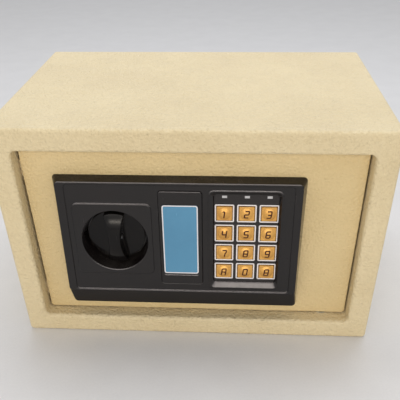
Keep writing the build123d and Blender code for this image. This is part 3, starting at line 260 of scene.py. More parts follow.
# %% Fine skin, plain or drawn out
skin_share, slow_share = 0.4, 0.6
skin_inputs = {"Grain": 0.5 * mm, "Drawn": 1.0}
fine_skin, given, result, place = effect("fine_skin", skin_inputs, ["Height", "Tone"])
per_metre = maths(fine_skin, "DIVIDE", 1.0, given["Grain"])
along = maths(fine_skin, "DIVIDE", 1.0, given["Drawn"])
drawn = put(fine_skin, "ShaderNodeCombineXYZ", {"X": along, "Y": 1.0, "Z": 1.0})[0]
drawn_place = put(fine_skin, "ShaderNodeVectorMath", {0: place, 1: drawn}, operation="MULTIPLY")[0]
skin = clouds(fine_skin, drawn_place, per_metre, 2.0)
fine_skin.links.new(skin, result["Height"])
slow = clouds(fine_skin, place, 22.0, 5.0)
skin_part = maths(fine_skin, "MULTIPLY", skin, skin_share)
slow_part = maths(fine_skin, "MULTIPLY", slow, slow_share)
tone = maths(fine_skin, "ADD", skin_part, slow_part)
fine_skin.links.new(ranged(fine_skin, tone, *noise_band), result["Tone"])
print("fine_skin nodes", len(fine_skin.nodes))

# %% [markdown]
# ### Worn edges, painted highlights and painted shade
# An edge is where the surface turns within a millimetre or so: there the rounded normal of the Bevel
# node and the true normal disagree. Each finish gives the mask its own edge colour. On the paint it is
# partly wear and partly a painted highlight, on the gold keys it is painted shade, and on the knob, the
# metals and the red button it is wear. "Upper" keeps the mask to the edges and slopes whose normal
# points halfway between front and up, and the black console uses it for a painted highlight of the
# lamps in front and above. The mask comes in patches, and "Even" closes the gaps between them.

# %% Worn edges
edge_band = (0.99, 0.82)
patch_band = (0.38, 0.62)
# The direction halfway between front and up, from which the painted highlight is lit.
highlight_direction = (0.0, -cos(pi / 4), sin(pi / 4))
highlight_band = (0.8, 0.93)
slope_band = (0.9, 0.99)
# How much pale colour is painted on slopes that face up and forward: a painted highlight.
slope_highlight = 0.45
bevel_samples = 6
edge_mask_inputs = {"Reach": 0.8 * mm, "Upper": 0.0, "Even": 0.0}
edge_wear_and_painted_light, given, result, place = effect("edge_wear_and_painted_light", edge_mask_inputs, ["Mask"])
bevelled = put(edge_wear_and_painted_light, "ShaderNodeBevel", {"Radius": given["Reach"]}, samples=bevel_samples)[0]
true = put(edge_wear_and_painted_light, "ShaderNodeNewGeometry")["Normal"]
turned = ranged(edge_wear_and_painted_light, dot(edge_wear_and_painted_light, bevelled, true), *edge_band)
own_normal = put(
    edge_wear_and_painted_light,
    "ShaderNodeVectorTransform",
    {0: bevelled},
    vector_type="NORMAL",
    convert_from="WORLD",
    convert_to="OBJECT",
)[0]
towards = dot(edge_wear_and_painted_light, own_normal, highlight_direction)
upper = mixed(edge_wear_and_painted_light, given["Upper"], 1.0, ranged(edge_wear_and_painted_light, towards, *highlight_band))
patchy = ranged(edge_wear_and_painted_light, clouds(edge_wear_and_painted_light, place, 160.0, 4.0), *patch_band)
cover = mixed(edge_wear_and_painted_light, given["Even"], patchy, 1.0)
slope = ranged(edge_wear_and_painted_light, towards, *slope_band, 0.0, slope_highlight)
slope = maths(edge_wear_and_painted_light, "MULTIPLY", slope, given["Upper"])
# The edge mask, with the painted highlight on up-facing slopes added where Upper is set.
edge_and_slope_mask = maths(edge_wear_and_painted_light, "MAXIMUM", maths(edge_wear_and_painted_light, "MULTIPLY", turned, upper), slope)
edge_wear_and_painted_light.links.new(maths(edge_wear_and_painted_light, "MULTIPLY", edge_and_slope_mask, cover), result["Mask"])
print("edge_wear_and_painted_light nodes", len(edge_wear_and_painted_light.nodes))

# %% [markdown]
# ### Dust
# Dust settles where a surface faces up, and drifts into patches.

# %% Dust
settling_band = (0.25, 0.95)
drift_band = (0.4, 0.7)
dust, given, result, place = effect("dust", {"Amount": 0.3}, ["Mask"])
settled = ranged(dust, facing_up(dust), *settling_band)
drift = ranged(dust, clouds(dust, place, 60.0, 6.0), *drift_band)
settled = maths(dust, "MULTIPLY", settled, drift)
dust.links.new(maths(dust, "MULTIPLY", settled, given["Amount"]), result["Mask"])
print("dust nodes", len(dust.nodes))

# %% [markdown]
# ### What hands reach
# Hands and cloths polish a black moulding. What faces down is out of their reach, and keeps the matte
# skin of its mould. The mask is 0 there, and 1 on everything else.

# %% What hands reach
reached_band = (-0.45, -0.1)
handled, given, result, place = effect("handled", {}, ["Mask"])
handled.links.new(ranged(handled, facing_up(handled), *reached_band), result["Mask"])
print("handled nodes", len(handled.nodes))

# %% [markdown]
# ### Scratches
# A scratch is a thin line where a long drawn-out noise crosses a narrow band. The noise is turned out
# of line with the safe's edges, and a slow one leaves most places without scratches.

# %% Scratches
scratch_scale = (900.0, 900.0, 26.0)
scratch_turn = (0.35, 0.5, 0.2)
scratch_band = (0.77, 0.80)
scratched_band = (0.5, 0.62)
scratches, given, result, place = effect("scratches", {"Amount": 0.3}, ["Mask"])
mapping = {"Vector": place, "Scale": scratch_scale, "Rotation": scratch_turn}
drawn_place = put(scratches, "ShaderNodeMapping", mapping)[0]
long_noise = {"Vector": drawn_place, "Scale": 1.0, "Detail": 0.0}
thin = ranged(scratches, put(scratches, "ShaderNodeTexNoise", long_noise)["Fac"], *scratch_band)
some = ranged(scratches, clouds(scratches, place, 30.0, 1.0), *scratched_band)
marks = maths(scratches, "MULTIPLY", thin, some)
scratches.links.new(maths(scratches, "MULTIPLY", marks, given["Amount"]), result["Mask"])
print("shader groups", [tree.name for tree in bpy.data.node_groups])

# %% [markdown]
# ## Finishes
# One function layers the effects in the order in which they come about on the real safe: the bare
# colour with its change of tone, then the edge colour, then scratches, then dust. The edge colour is
# wear on some finishes, and on others a painted highlight or painted shade. The bump has a real
# depth. Its Normal can come from a Bevel node, because no moulded edge is truly sharp, and a
# rounded one catches the light. Each finish of the record then needs only its own values.


# %% Helpers for finishes
def shared(tree, group, **values):
    """Places a shared effect in a material, with the material's own values."""
    node = tree.nodes.new("ShaderNodeGroup")
    node.node_tree = group
    for label, value in values.items():
        node.inputs[label].default_value = value
    return node.outputs


def blend(tree, share, low, high):
    return put(tree, "ShaderNodeMix", {0: share, 6: low, 7: high}, data_type="RGBA")[2]


def raised_by(tree, value, mask, amount):
    return maths(tree, "ADD", value, maths(tree, "MULTIPLY", mask, amount))


# %% The layered finish
scratch_lift = 70
scratch_roughness = 0.3
dust_colour = (176, 170, 160)
dust_roughness = 0.4
lacquer_roughness = 0.1
finishes = {}


def finish(
    name, light, dark, rough, skin=fine_skin, grain=0.5, drawn=1.0, depth=0.01, metallic=0.0,
    edge_wear_and_painted_light_colour=None, reach=0.7, dusty=0.15, scratched=0.1, coat=0.0, gloss=0.5, rounding=0.0,
    matte_below=None, upper=0.0, even=0.0,
):
    """Makes a material. Colours are in screen steps, and lengths in millimetres."""
    made = bpy.data.materials.new(name)
    made.use_nodes = True
    finishes[name] = made
    tree = made.node_tree
    shader = tree.nodes["Principled BSDF"].inputs
    shader["Metallic"].default_value = metallic
    shader["Coat Weight"].default_value = coat
    shader["Coat Roughness"].default_value = lacquer_roughness
    shader["Specular IOR Level"].default_value = gloss
    values = {"Grain": grain * mm}
    if skin == fine_skin:
        values["Drawn"] = drawn
    surface = shared(tree, skin, **values)
    colour = blend(tree, surface["Tone"], linear(*dark), linear(*light))
    roughness = ranged(tree, surface["Tone"], 0.0, 1.0, *rough)
    # The edge colour: wear on metals, partly painted highlight on the paint, painted highlight on the black
    # console, painted shade on the gold keys.
    if edge_wear_and_painted_light_colour:
        edge = shared(tree, edge_wear_and_painted_light, Reach=reach * mm, Upper=upper, Even=even)["Mask"]
        colour = blend(tree, edge, colour, linear(*edge_wear_and_painted_light_colour))
    if scratched:
        mark = shared(tree, scratches, Amount=scratched)["Mask"]
        lifted = [min(255, step + scratch_lift) for step in light]
        colour = blend(tree, mark, colour, linear(*lifted))
        roughness = raised_by(tree, roughness, mark, scratch_roughness)
    if dusty:
        settled = shared(tree, dust, Amount=dusty)["Mask"]
        colour = blend(tree, settled, colour, linear(*dust_colour))
        roughness = raised_by(tree, roughness, settled, dust_roughness)
    if matte_below:
        roughness = mixed(tree, shared(tree, handled)["Mask"], matte_below, roughness)
    tree.links.new(colour, shader["Base Color"])
    tree.links.new(roughness, shader["Roughness"])
    bump = {"Height": surface["Height"], "Distance": depth * mm, "Strength": 1.0}
    if rounding:
        radius = {"Radius": rounding * mm}
        bump["Normal"] = put(tree, "ShaderNodeBevel", radius, samples=bevel_samples)[0]
    tree.links.new(put(tree, "ShaderNodeBump", bump)[0], shader["Normal"])


# %% [markdown]
# ### Paint
# The box has a heavy powder coat of almond paint. The door has the same paint, a little more yellow
# and with less grain. Its edges are painted paler: partly where the coat is thin, and partly a painted
# highlight of edges that catch the light.

# %% Paint
almond = (226, 210, 172)
# The pale edge colour is partly wear of a thin coat and partly a painted highlight.
finish(
    "case_paint", almond, (216, 198, 158), (0.42, 0.54), powder_coat, 2.2, depth=0.9,
    edge_wear_and_painted_light_colour=(240, 228, 198), dusty=0.08, scratched=0.04,
)
finish(
    "door_paint", (222, 200, 152), (212, 189, 139), (0.42, 0.54), powder_coat, 2.0, depth=0.65,
    edge_wear_and_painted_light_colour=(236, 222, 188), dusty=0.06, scratched=0.04,
)
print("finishes so far", list(finishes))

# %% [markdown]
# ### Console, knob and keys
# The console is satin black plastic. Its upper edges and the slopes that face up and forward are
# painted pale, a painted highlight of the lamps in front and above, and what faces down is matte. The
# knob is a glossier black. The keys are plastic with a gold lacquer: nearly a metal, but softer, with
# a painted shade in dark brown at the edges of each key and round its dome.

# %% Console, knob and keys
# Its pale edge colour on upper edges and up-facing slopes is a painted highlight.
finish(
    "black_moulding", (22, 17, 17), (15, 12, 12), (0.15, 0.21), grain=0.22, depth=0.002,
    edge_wear_and_painted_light_colour=(186, 180, 182), reach=0.9, dusty=0.04, scratched=0.12, gloss=0.4,
    rounding=1.3, matte_below=1.0, upper=1.0, even=0.85,
)
finish(
    "knob_black", (14, 11, 10), (8, 6, 6), (0.14, 0.2), grain=0.6, depth=0.003,
    edge_wear_and_painted_light_colour=(70, 60, 52), reach=0.5, dusty=0.04, scratched=0.12, gloss=0.2, rounding=0.8,
)
finish(
    "keypad_grey", (41, 38, 38), (33, 30, 31), (0.45, 0.55), grain=0.3, depth=0.003,
    dusty=0.04, scratched=0.1, gloss=0.3,
)
# Its dark brown edge colour, on each key's edges and round its dome, is painted shade.
finish(
    "key_gold", (224, 172, 88), (196, 140, 64), (0.3, 0.4), grain=0.25, drawn=4.0, depth=0.002,
    metallic=0.5, edge_wear_and_painted_light_colour=(72, 42, 22), reach=0.9, dusty=0.03, scratched=0.1, coat=0.15, even=1.0,
)
print("finishes so far", len(finishes))

# %% [markdown]
# ### Label and lights
# The label on the cover plate is a bare blue sheet, which keys and nails have scratched. The windows
# of the status lights are pale plastic with a glossy coat.

# %% Label and lights
finish(
    "label_blue", (88, 148, 184), (78, 136, 172), (0.3, 0.4), grain=0.4, depth=0.002,
    dusty=0.1, scratched=0.6,
)
finish(
    "light_window", (198, 198, 200), (176, 176, 180), (0.15, 0.25), grain=0.4, depth=0.003,
    dusty=0.1, coat=0.5,
)
print("finishes so far", len(finishes))

# %% [markdown]
# ### Metals
# The steel of the lock works is zinc plated, and shows the fine lines of its rolling. The override
# lock is brass. The solenoid's coil is lacquered copper wire, so its noise is drawn out the most,
# with a deep bump for the turns.

# %% Metals
finish(
    "zinc_steel", (196, 198, 200), (164, 167, 170), (0.24, 0.42), grain=0.35, drawn=18.0,
    depth=0.006, metallic=1.0, edge_wear_and_painted_light_colour=(222, 224, 226), dusty=0.06, scratched=0.4,
)
finish(
    "lock_brass", (214, 180, 106), (184, 148, 78), (0.2, 0.34), grain=0.3, drawn=8.0,
    depth=0.005, metallic=1.0, edge_wear_and_painted_light_colour=(238, 212, 150), dusty=0.05, scratched=0.3,
)
finish(
    "copper_coil", (196, 112, 66), (150, 76, 40), (0.22, 0.36), grain=0.35, drawn=30.0,
    depth=0.05, metallic=0.9, dusty=0.05, coat=0.5,
)
print("finishes so far", len(finishes))

# %% [markdown]
# ### Felt, rubber and small plastics
# Felt is rough and soft, so its bump is the deepest after the paint's. Rubber is dull. The circuit
# board and the jackets of the cells are lacquered. White is the ink of the printed frames too, and
# stays clean.

# %% Felt, rubber and small plastics
finish(
    "mat_felt", (58, 58, 61), (47, 47, 50), (0.9, 1.0), grain=0.3, drawn=3.0, depth=0.25,
    dusty=0.07, scratched=0.0,
)
finish("key_rubber", (84, 84, 86), (66, 66, 68), (0.65, 0.8), grain=0.3, depth=0.008, dusty=0.15)
finish("board_green", (32, 104, 58), (18, 76, 40), (0.22, 0.34), grain=0.8, depth=0.02, coat=0.5)
finish(
    "white_plastic", (246, 242, 242), (232, 227, 228), (0.4, 0.5), grain=0.3, depth=0.002,
    dusty=0.0, scratched=0.0,
)
finish(
    "reset_red", (186, 36, 30), (160, 24, 20), (0.2, 0.3), grain=0.3, depth=0.004,
    edge_wear_and_painted_light_colour=(206, 84, 74), reach=0.4, coat=0.4,
)
finish(
    "cell_jacket", (66, 72, 84), (50, 55, 66), (0.22, 0.34), grain=0.5, drawn=6.0, depth=0.003,
    metallic=0.5, coat=0.4,
)
finish("lead_jacket", (172, 44, 38), (140, 30, 26), (0.4, 0.52), grain=0.3, depth=0.006)
print("finishes so far", len(finishes))

# %% [markdown]
# ### The figures' ink and the floor
# The figures on the keys are printed in dark brown. The floor's paint is pale and plain. With these,
# each CAD solid gets the finish that the record names for it.

# %% The figures' ink and the floor
finish(
    "figure_brown", (74, 28, 12), (56, 20, 9), (0.45, 0.55), grain=0.2, depth=0.001,
    dusty=0.0, scratched=0.0, gloss=0.3,
)
finish(
    "floor_paint", (226, 226, 228), (220, 220, 222), (0.6, 0.7), grain=2.0, depth=0.01,
    dusty=0.0, scratched=0.0,
)
floor_mesh.materials.append(finishes["floor_paint"])
for subpart in frame["record"]["subparts"]:
    materials = nodes[subpart["node"]].data.materials
    materials.clear()
    materials.append(finishes[subpart["material_slot"]])
print("finishes", len(finishes))

# %% [markdown]
# ## The leaning face of the console
# The console is thicker at the bottom, so its face leans back. The cover plate pulls off square to
# that face, and its joint's axis is the face's normal. With that axis, points can be read and
# placed in the face's own directions: across, up, and out.

# %% The leaning face
across = Vector((1, 0, 0))
out = Vector(joints["override_cover_pull"]["axis"]).normalized()
up = out.cross(across)
on_face = Matrix((across, up, out)).transposed().to_4x4()


def face_box(node):
    """Lowest and highest corner of a CAD node, in the directions of the leaning face."""
    points = [on_face.inverted() @ vertex.co for vertex in nodes[node].data.vertices]
    lowest = Vector([min(point[axis] for point in points) for axis in range(3)])
    highest = Vector([max(point[axis] for point in points) for axis in range(3)])
    return lowest, highest


plate_low, plate_high = face_box("keypad_plate")
print("keypad plate", [round(step / mm, 2) for step in plate_high - plate_low], "mm")

# %% [markdown]
# ## Geometry Nodes in code
# What repeats is made by node trees with named sizes. A carrier object holds the tree in a modifier,
# and the evaluated result is copied into a plain mesh. The carrier then goes, so nothing live is
# left on the piece.


# %% Trees, and how one is grown
def geometry_tree(name, inputs):
    tree = bpy.data.node_groups.new(name, "GeometryNodeTree")
    tree.is_modifier = True
    tree.interface.new_socket("Geometry", in_out="INPUT", socket_type="NodeSocketGeometry")
    for label, kind in inputs.items():
        tree.interface.new_socket(label, in_out="INPUT", socket_type="NodeSocket" + kind)
    tree.interface.new_socket("Geometry", in_out="OUTPUT", socket_type="NodeSocketGeometry")
    given = tree.nodes.new("NodeGroupInput").outputs
    result = tree.nodes.new("NodeGroupOutput").inputs
    return tree, given, result


def grow(tree, name, sizes, carrier_mesh=None):
    """Runs a tree with these sizes and returns its result as a plain object."""
    carrier = bpy.data.objects.new("carrier", carrier_mesh or bpy.data.meshes.new("carrier"))
    scene.collection.objects.link(carrier)
    modifier = carrier.modifiers.new("tree", "NODES")
    modifier.node_group = tree
    for socket in tree.interface.items_tree:
        if socket.in_out == "INPUT" and socket.name in sizes:
            modifier[socket.identifier] = sizes[socket.name]
    evaluated = carrier.evaluated_get(bpy.context.evaluated_depsgraph_get())
    mesh = bpy.data.meshes.new_from_object(evaluated)
    mesh.name = name
    bpy.data.objects.remove(carrier)
    made = bpy.data.objects.new(name, mesh)
    scene.collection.objects.link(made)
    print(name, "faces", len(mesh.polygons))
    return made


# %% [markdown]
# ### Steps that the trees share
# A printed line is a flat rectangle swept along a curve. Its corners are rounded first, and its
# normals are set upright, so that the rectangle lies flat. Each tree ends in real copies with their
# material, because the export leaves out instances.


# %% Steps that the trees share
def rectangle(tree, width, height):
    sides = {"Width": width, "Height": height}
    return put(tree, "GeometryNodeCurvePrimitiveQuadrilateral", sides)[0]


def round_corners(tree, curve, radius, steps):
    values = {"Curve": curve, "Radius": radius, "Count": steps}
    return put(tree, "GeometryNodeFilletCurve", values, mode="POLY")[0]


def face_upwards(tree, curve):
    return put(tree, "GeometryNodeSetCurveNormal", {"Curve": curve}, mode="Z_UP")[0]


def swept(tree, curve, section, caps=False):
    values = {"Curve": curve, "Profile Curve": section, "Fill Caps": caps}
    return put(tree, "GeometryNodeCurveToMesh", values)[0]


def end_tree(tree, geometry, material, result):
    real = put(tree, "GeometryNodeRealizeInstances", {"Geometry": geometry})[0]
    finished = put(tree, "GeometryNodeSetMaterial", {"Geometry": real, "Material": material})[0]
    tree.links.new(finished, result["Geometry"])


# %% [markdown]
# ### Setting a piece down
# A grown mesh is moved to its place on the safe, its doubled vertices are joined and its faces point
# outwards. The piece then says what it rides on; its finish comes from its tree.

# %% Setting a piece down
same_place = 0.001 * mm


def tidy_shell(mesh):
    """Joins doubled vertices and points the faces outwards."""
    work = bmesh.new()
    work.from_mesh(mesh)
    bmesh.ops.remove_doubles(work, verts=work.verts, dist=same_place)
    bmesh.ops.recalc_face_normals(work, faces=work.faces)
    work.to_mesh(mesh)
    work.free()


def set_down(piece, body, place):
    """Moves a piece's mesh into place and says what it rides on."""
    piece.data.transform(place)
    tidy_shell(piece.data)
    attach(piece, body)


# %% [markdown]
# ## Printed frames
# A white line runs round each key's hole, and a wider one round the label. Both are a rounded
# rectangle swept by a thin flat section, and the keys' is set out on a grid of three by four. One
# tree makes both, with its own sizes.

# %% The tree of printed frames
printed_frames, given, result = geometry_tree(
    "printed_frames",
    {
        "Width": "Float", "Height": "Float", "Line": "Float", "Corner": "Float", "Ink": "Float",
        "Columns": "Int", "Rows": "Int", "Pitch": "Float", "Row Pitch": "Float", "Finish": "Material",
    },
)
tree = printed_frames
mid_width = maths(tree, "SUBTRACT", given["Width"], given["Line"])
mid_height = maths(tree, "SUBTRACT", given["Height"], given["Line"])
outline = round_corners(tree, rectangle(tree, mid_width, mid_height), given["Corner"], 6)
section = rectangle(tree, given["Line"], given["Ink"])
line = swept(tree, face_upwards(tree, outline), section)
grid_sizes = {
    "Size X": maths(tree, "MULTIPLY", given["Pitch"], maths(tree, "SUBTRACT", given["Columns"], 1.0)),
    "Size Y": maths(tree, "MULTIPLY", given["Row Pitch"], maths(tree, "SUBTRACT", given["Rows"], 1.0)),
    "Vertices X": given["Columns"],
    "Vertices Y": given["Rows"],
}
grid = put(tree, "GeometryNodeMeshGrid", grid_sizes)[0]
copies = put(tree, "GeometryNodeInstanceOnPoints", {"Points": grid, "Instance": line})[0]
end_tree(tree, copies, given["Finish"], result)
print("printed_frames nodes", len(tree.nodes))

# %% The keys' frames
key_rows = ("123", "456", "789", "A0B")
key_boxes = {name: face_box("key_" + name.lower()) for row in key_rows for name in row}
key_middles = {name: (low + high) / 2 for name, (low, high) in key_boxes.items()}
key_pitch = key_middles["2"].x - key_middles["1"].x
row_pitch = key_middles["1"].y - key_middles["4"].y
pad_middle = sum(key_middles.values(), Vector()) / len(key_middles)
ink = 0.06 * mm
key_frame_side = 15.5 * mm

key_frames = grow(
    printed_frames,
    "key_frames",
    {
        "Width": key_frame_side, "Height": key_frame_side, "Line": 1.1 * mm, "Corner": 0.5 * mm,
        "Ink": ink, "Columns": 3, "Rows": 4, "Pitch": key_pitch, "Row Pitch": row_pitch,
        "Finish": finishes["white_plastic"],
    },
)
frames_place = Matrix.Translation((pad_middle.x, pad_middle.y, plate_high.z))
set_down(key_frames, "door", on_face @ frames_place)

# %% The label's border
label_low, label_high = face_box("label")
label_middle = (label_low + label_high) / 2
label_margin = 0.2 * mm
label_border = grow(
    printed_frames,
    "label_border",
    {
        "Width": label_high.x - label_low.x - label_margin,
        "Height": label_high.y - label_low.y - label_margin,
        "Line": 0.9 * mm, "Corner": 1.5 * mm, "Ink": ink, "Columns": 1, "Rows": 1, "Pitch": 0.0,
        "Row Pitch": 0.0, "Finish": finishes["white_plastic"],
    },
)
border_place = Matrix.Translation((label_middle.x, label_middle.y, label_high.z))
set_down(label_border, "override_cover", on_face @ border_place)

# %% [markdown]
# ## Key figures
# Each key has a round dome with a slanted figure, drawn as a segment display would. A figure is a
# few pen strokes on a unit square. The tree rounds their corners, sweeps a flat nib along them,
# slants them, and lays them on the dome, which is part of a ball. A stroke is straight between its
# cuts, and the dome's mesh has flat facets, so a thin stroke would sink in here and there. The
# figures' ink is therefore three times as thick as that of the frames.

# %% The tree that writes on a dome
pen_strokes, given, result = geometry_tree(
    "pen_strokes",
    {
        "Nib": "Float", "Ink": "Float", "Corner": "Float", "Slant": "Float", "Ball": "Float",
        "Finish": "Material",
    },
)
tree = pen_strokes
stroke = put(tree, "GeometryNodeMeshToCurve", {"Mesh": given["Geometry"]})[0]
stroke = round_corners(tree, stroke, given["Corner"], 5)
stroke = put(tree, "GeometryNodeSubdivideCurve", {"Curve": stroke, "Cuts": 7})[0]
nib = rectangle(tree, given["Nib"], given["Ink"])
flat_figure = swept(tree, face_upwards(tree, stroke), nib, caps=True)
x, y, z = put(tree, "ShaderNodeSeparateXYZ", {0: put(tree, "GeometryNodeInputPosition")[0]})
leaning_x = maths(tree, "ADD", x, maths(tree, "MULTIPLY", y, given["Slant"]))
x_square = maths(tree, "MULTIPLY", leaning_x, leaning_x)
away = maths(tree, "ADD", x_square, maths(tree, "MULTIPLY", y, y))
ball_square = maths(tree, "MULTIPLY", given["Ball"], given["Ball"])
on_ball = maths(tree, "SQRT", maths(tree, "SUBTRACT", ball_square, away))
lifted = maths(tree, "ADD", z, maths(tree, "SUBTRACT", on_ball, given["Ball"]))
moved = put(tree, "ShaderNodeCombineXYZ", {"X": leaning_x, "Y": y, "Z": lifted})[0]
laid = put(tree, "GeometryNodeSetPosition", {"Geometry": flat_figure, "Position": moved})[0]
end_tree(tree, laid, given["Finish"], result)
print("pen_strokes nodes", len(tree.nodes))

# %% The pen's lines for each figure
strokes = {
    "1": [[(0.12, 0.86), (0.5, 1.09), (0.5, -0.09)]],
    "2": [[(0, 1), (1, 1), (1, 0.5), (0, 0.5), (0, 0), (1, 0)]],
    "3": [[(0, 1), (1, 1), (1, 0), (0, 0)], [(0.2, 0.5), (1, 0.5)]],
    "4": [[(0, 1.05), (0, 0.45), (1, 0.45)], [(1, 1.05), (1, -0.09)]],
    "5": [[(1, 1), (0, 1), (0, 0.5), (1, 0.5), (1, 0), (0, 0)]],
    "6": [[(1, 1), (0, 1), (0, 0), (1, 0), (1, 0.5), (0, 0.5)]],
    "7": [[(0, 1), (1, 1), (1, 0.7), (0.75, 0.45), (0.75, -0.09)]],
    "8": [[(0, 0), (0, 1), (1, 1), (1, 0), (0, 0)], [(0, 0.5), (1, 0.5)]],
    "9": [[(1, 0.5), (0, 0.5), (0, 1), (1, 1), (1, 0), (0, 0)]],
    "0": [[(0, 0), (0, 1), (1, 1), (1, 0), (0, 0)]],
    "A": [[(0, -0.09), (0, 1), (1, 1), (1, -0.09)], [(0, 0.5), (1, 0.5)]],
    "B": [[(0, 0), (0, 1), (1, 1), (1, 0.5), (0, 0.5)], [(1, 0.5), (1, 0), (0, 0)]],
}
figure_width, figure_height = 3.3 * mm, 5.7 * mm


def skeleton(pen_lines):
    """A mesh of edges along the pen's lines. A line that ends where it began is a loop."""
    corners, edges = [], []
    for pen_line in pen_lines:
        loop = pen_line[0] == pen_line[-1]
        points = pen_line[:-1] if loop else pen_line
        first = len(corners)
        corners += [((u - 0.5) * figure_width, (v - 0.5) * figure_height, 0) for u, v in points]
        edges += [(first + i, first + i + 1) for i in range(len(points) - 1)]
        if loop:
            edges.append((first + len(points) - 1, first))
    mesh = bpy.data.meshes.new("skeleton")
    mesh.from_pydata(corners, edges, [])
    return mesh


# %% The twelve figures
dome_radius, dome_rise = 5.15 * mm, 1.5 * mm
dome_ball = (dome_radius**2 + dome_rise**2) / (2 * dome_rise)
pen = {
    "Nib": 1.05 * mm, "Ink": 3 * ink, "Corner": 0.75 * mm, "Slant": 0.14, "Ball": dome_ball,
    "Finish": finishes["figure_brown"],
}
for name, pen_lines in strokes.items():
    figure = grow(pen_strokes, "figure_" + name.lower(), pen, skeleton(pen_lines))
    middle, apex = key_middles[name], key_boxes[name][1].z
    figure_place = Matrix.Translation((middle.x, middle.y, apex))
    set_down(figure, "key_" + name.lower(), on_face @ figure_place)

# %% [markdown]
# ## Cross-head screws
# Four screws hold the inner cover on the back of the door. One screw is turned on a lathe, as a
# profile spun round its axis, and a cross is cut into its head. Geometry Nodes then set a copy, each
# turned its own way, at every place where the CAD has a screw.

# %% A turned screw
cover_low, cover_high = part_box("cover_screws")
screw_length = cover_high.y - cover_low.y
head_radius, head_height = 3.6 * mm, 2.0 * mm
shank_radius = 1.5 * mm
# Shares of the head's radius, and the depth under its top in millimetres.
head_rounding = ((1.0, 0.9), (0.9, 0.35), (0.68, 0.08), (0.4, 0.0))

shank = [(0, -screw_length), (shank_radius, -screw_length), (shank_radius, -head_height)]
head = [(share * head_radius, -depth * mm) for share, depth in head_rounding]
turned_profile = shank + [(head_radius, -head_height)] + head + [(0, 0)]
work = bmesh.new()
ring = [work.verts.new((radius, 0, height)) for radius, height in turned_profile]
profile_edges = [work.edges.new(pair) for pair in zip(ring, ring[1:])]
bmesh.ops.spin(
    work,
    geom=ring + profile_edges,
    axis=(0, 0, 1),
    cent=(0, 0, 0),
    angle=2 * pi,
    steps=32,
    use_duplicate=False,
)
bmesh.ops.remove_doubles(work, verts=work.verts, dist=same_place)
bmesh.ops.recalc_face_normals(work, faces=work.faces)
turned_mesh = bpy.data.meshes.new("screw")
work.to_mesh(turned_mesh)
work.free()
screw = bpy.data.objects.new("screw", turned_mesh)
scene.collection.objects.link(screw)
print("turned screw faces", len(turned_mesh.polygons))

# %% The cross in its head
cross_long, cross_wide, cross_deep = 4.2 * mm, 0.9 * mm, 2.4 * mm
work = bmesh.new()
for turn in (0, pi / 2):
    arm = bmesh.ops.create_cube(work, size=1.0)["verts"]
    bmesh.ops.scale(work, verts=arm, vec=(cross_long, cross_wide, cross_deep))
    bmesh.ops.rotate(work, verts=arm, cent=(0, 0, 0), matrix=Matrix.Rotation(turn, 3, "Z"))
cross_mesh = bpy.data.meshes.new("cross")
work.to_mesh(cross_mesh)
work.free()
cross = bpy.data.objects.new("cross", cross_mesh)
scene.collection.objects.link(cross)
cut = screw.modifiers.new("cross", "BOOLEAN")
cut.operation = "DIFFERENCE"
cut.object = cross
cut.solver = "EXACT"
cut.use_self = True
evaluated = screw.evaluated_get(bpy.context.evaluated_depsgraph_get())
screw_mesh = bpy.data.meshes.new_from_object(evaluated)
screw.modifiers.clear()
screw.data = screw_mesh
bpy.data.objects.remove(cross)
print("screw faces", len(screw_mesh.polygons))

# %% The tree that sets screws
set_screws, given, result = geometry_tree("set_screws", {"Screw": "Object", "Finish": "Material"})
tree = set_screws
one_screw = put(tree, "GeometryNodeObjectInfo", {"Object": given["Screw"]})["Geometry"]
turn = put(tree, "FunctionNodeRandomValue", {3: pi, "Seed": 4}, data_type="FLOAT")[1]
turns = put(tree, "ShaderNodeCombineXYZ", {"Z": turn})[0]
setting = {"Points": given["Geometry"], "Instance": one_screw, "Rotation": turns}
copies = put(tree, "GeometryNodeInstanceOnPoints", setting)[0]
end_tree(tree, copies, given["Finish"], result)
print("set_screws nodes", len(tree.nodes))

# %% [markdown]
# ### Four screws in the cover's corners
# The points lie in a plane seen from the back: x runs the other way there, and the heads face the
# back. One matrix turns such a plane to its place, and the ribs of the battery lid use it too.

# %% Four screws in the cover's corners
corner_inset = 3.6 * mm
screw_xs = (cover_low.x + corner_inset, cover_high.x - corner_inset)
screw_zs = (cover_low.z + corner_inset, cover_high.z - corner_inset)
screw_points = bpy.data.meshes.new("screw_points")
screw_points.from_pydata([(-x, z, 0) for x in screw_xs for z in screw_zs], [], [])
facing_back = Matrix(((-1, 0, 0), (0, 0, 1), (0, 1, 0))).to_4x4()
screw_sizes = {"Screw": screw, "Finish": finishes["zinc_steel"]}
cross_screws = grow(set_screws, "cross_screws", screw_sizes, screw_points)
screws_place = Matrix.Translation((0, cover_high.y, 0)) @ facing_back
set_down(cross_screws, "door", screws_place)
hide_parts("cover_screws")
bpy.data.objects.remove(screw)

# %% [markdown]
# ## Ribs on the battery lid
# A thumb pushes the lid by a few half-round ribs. They are one rod repeated along a line and sunk
# to half its thickness in the lid.

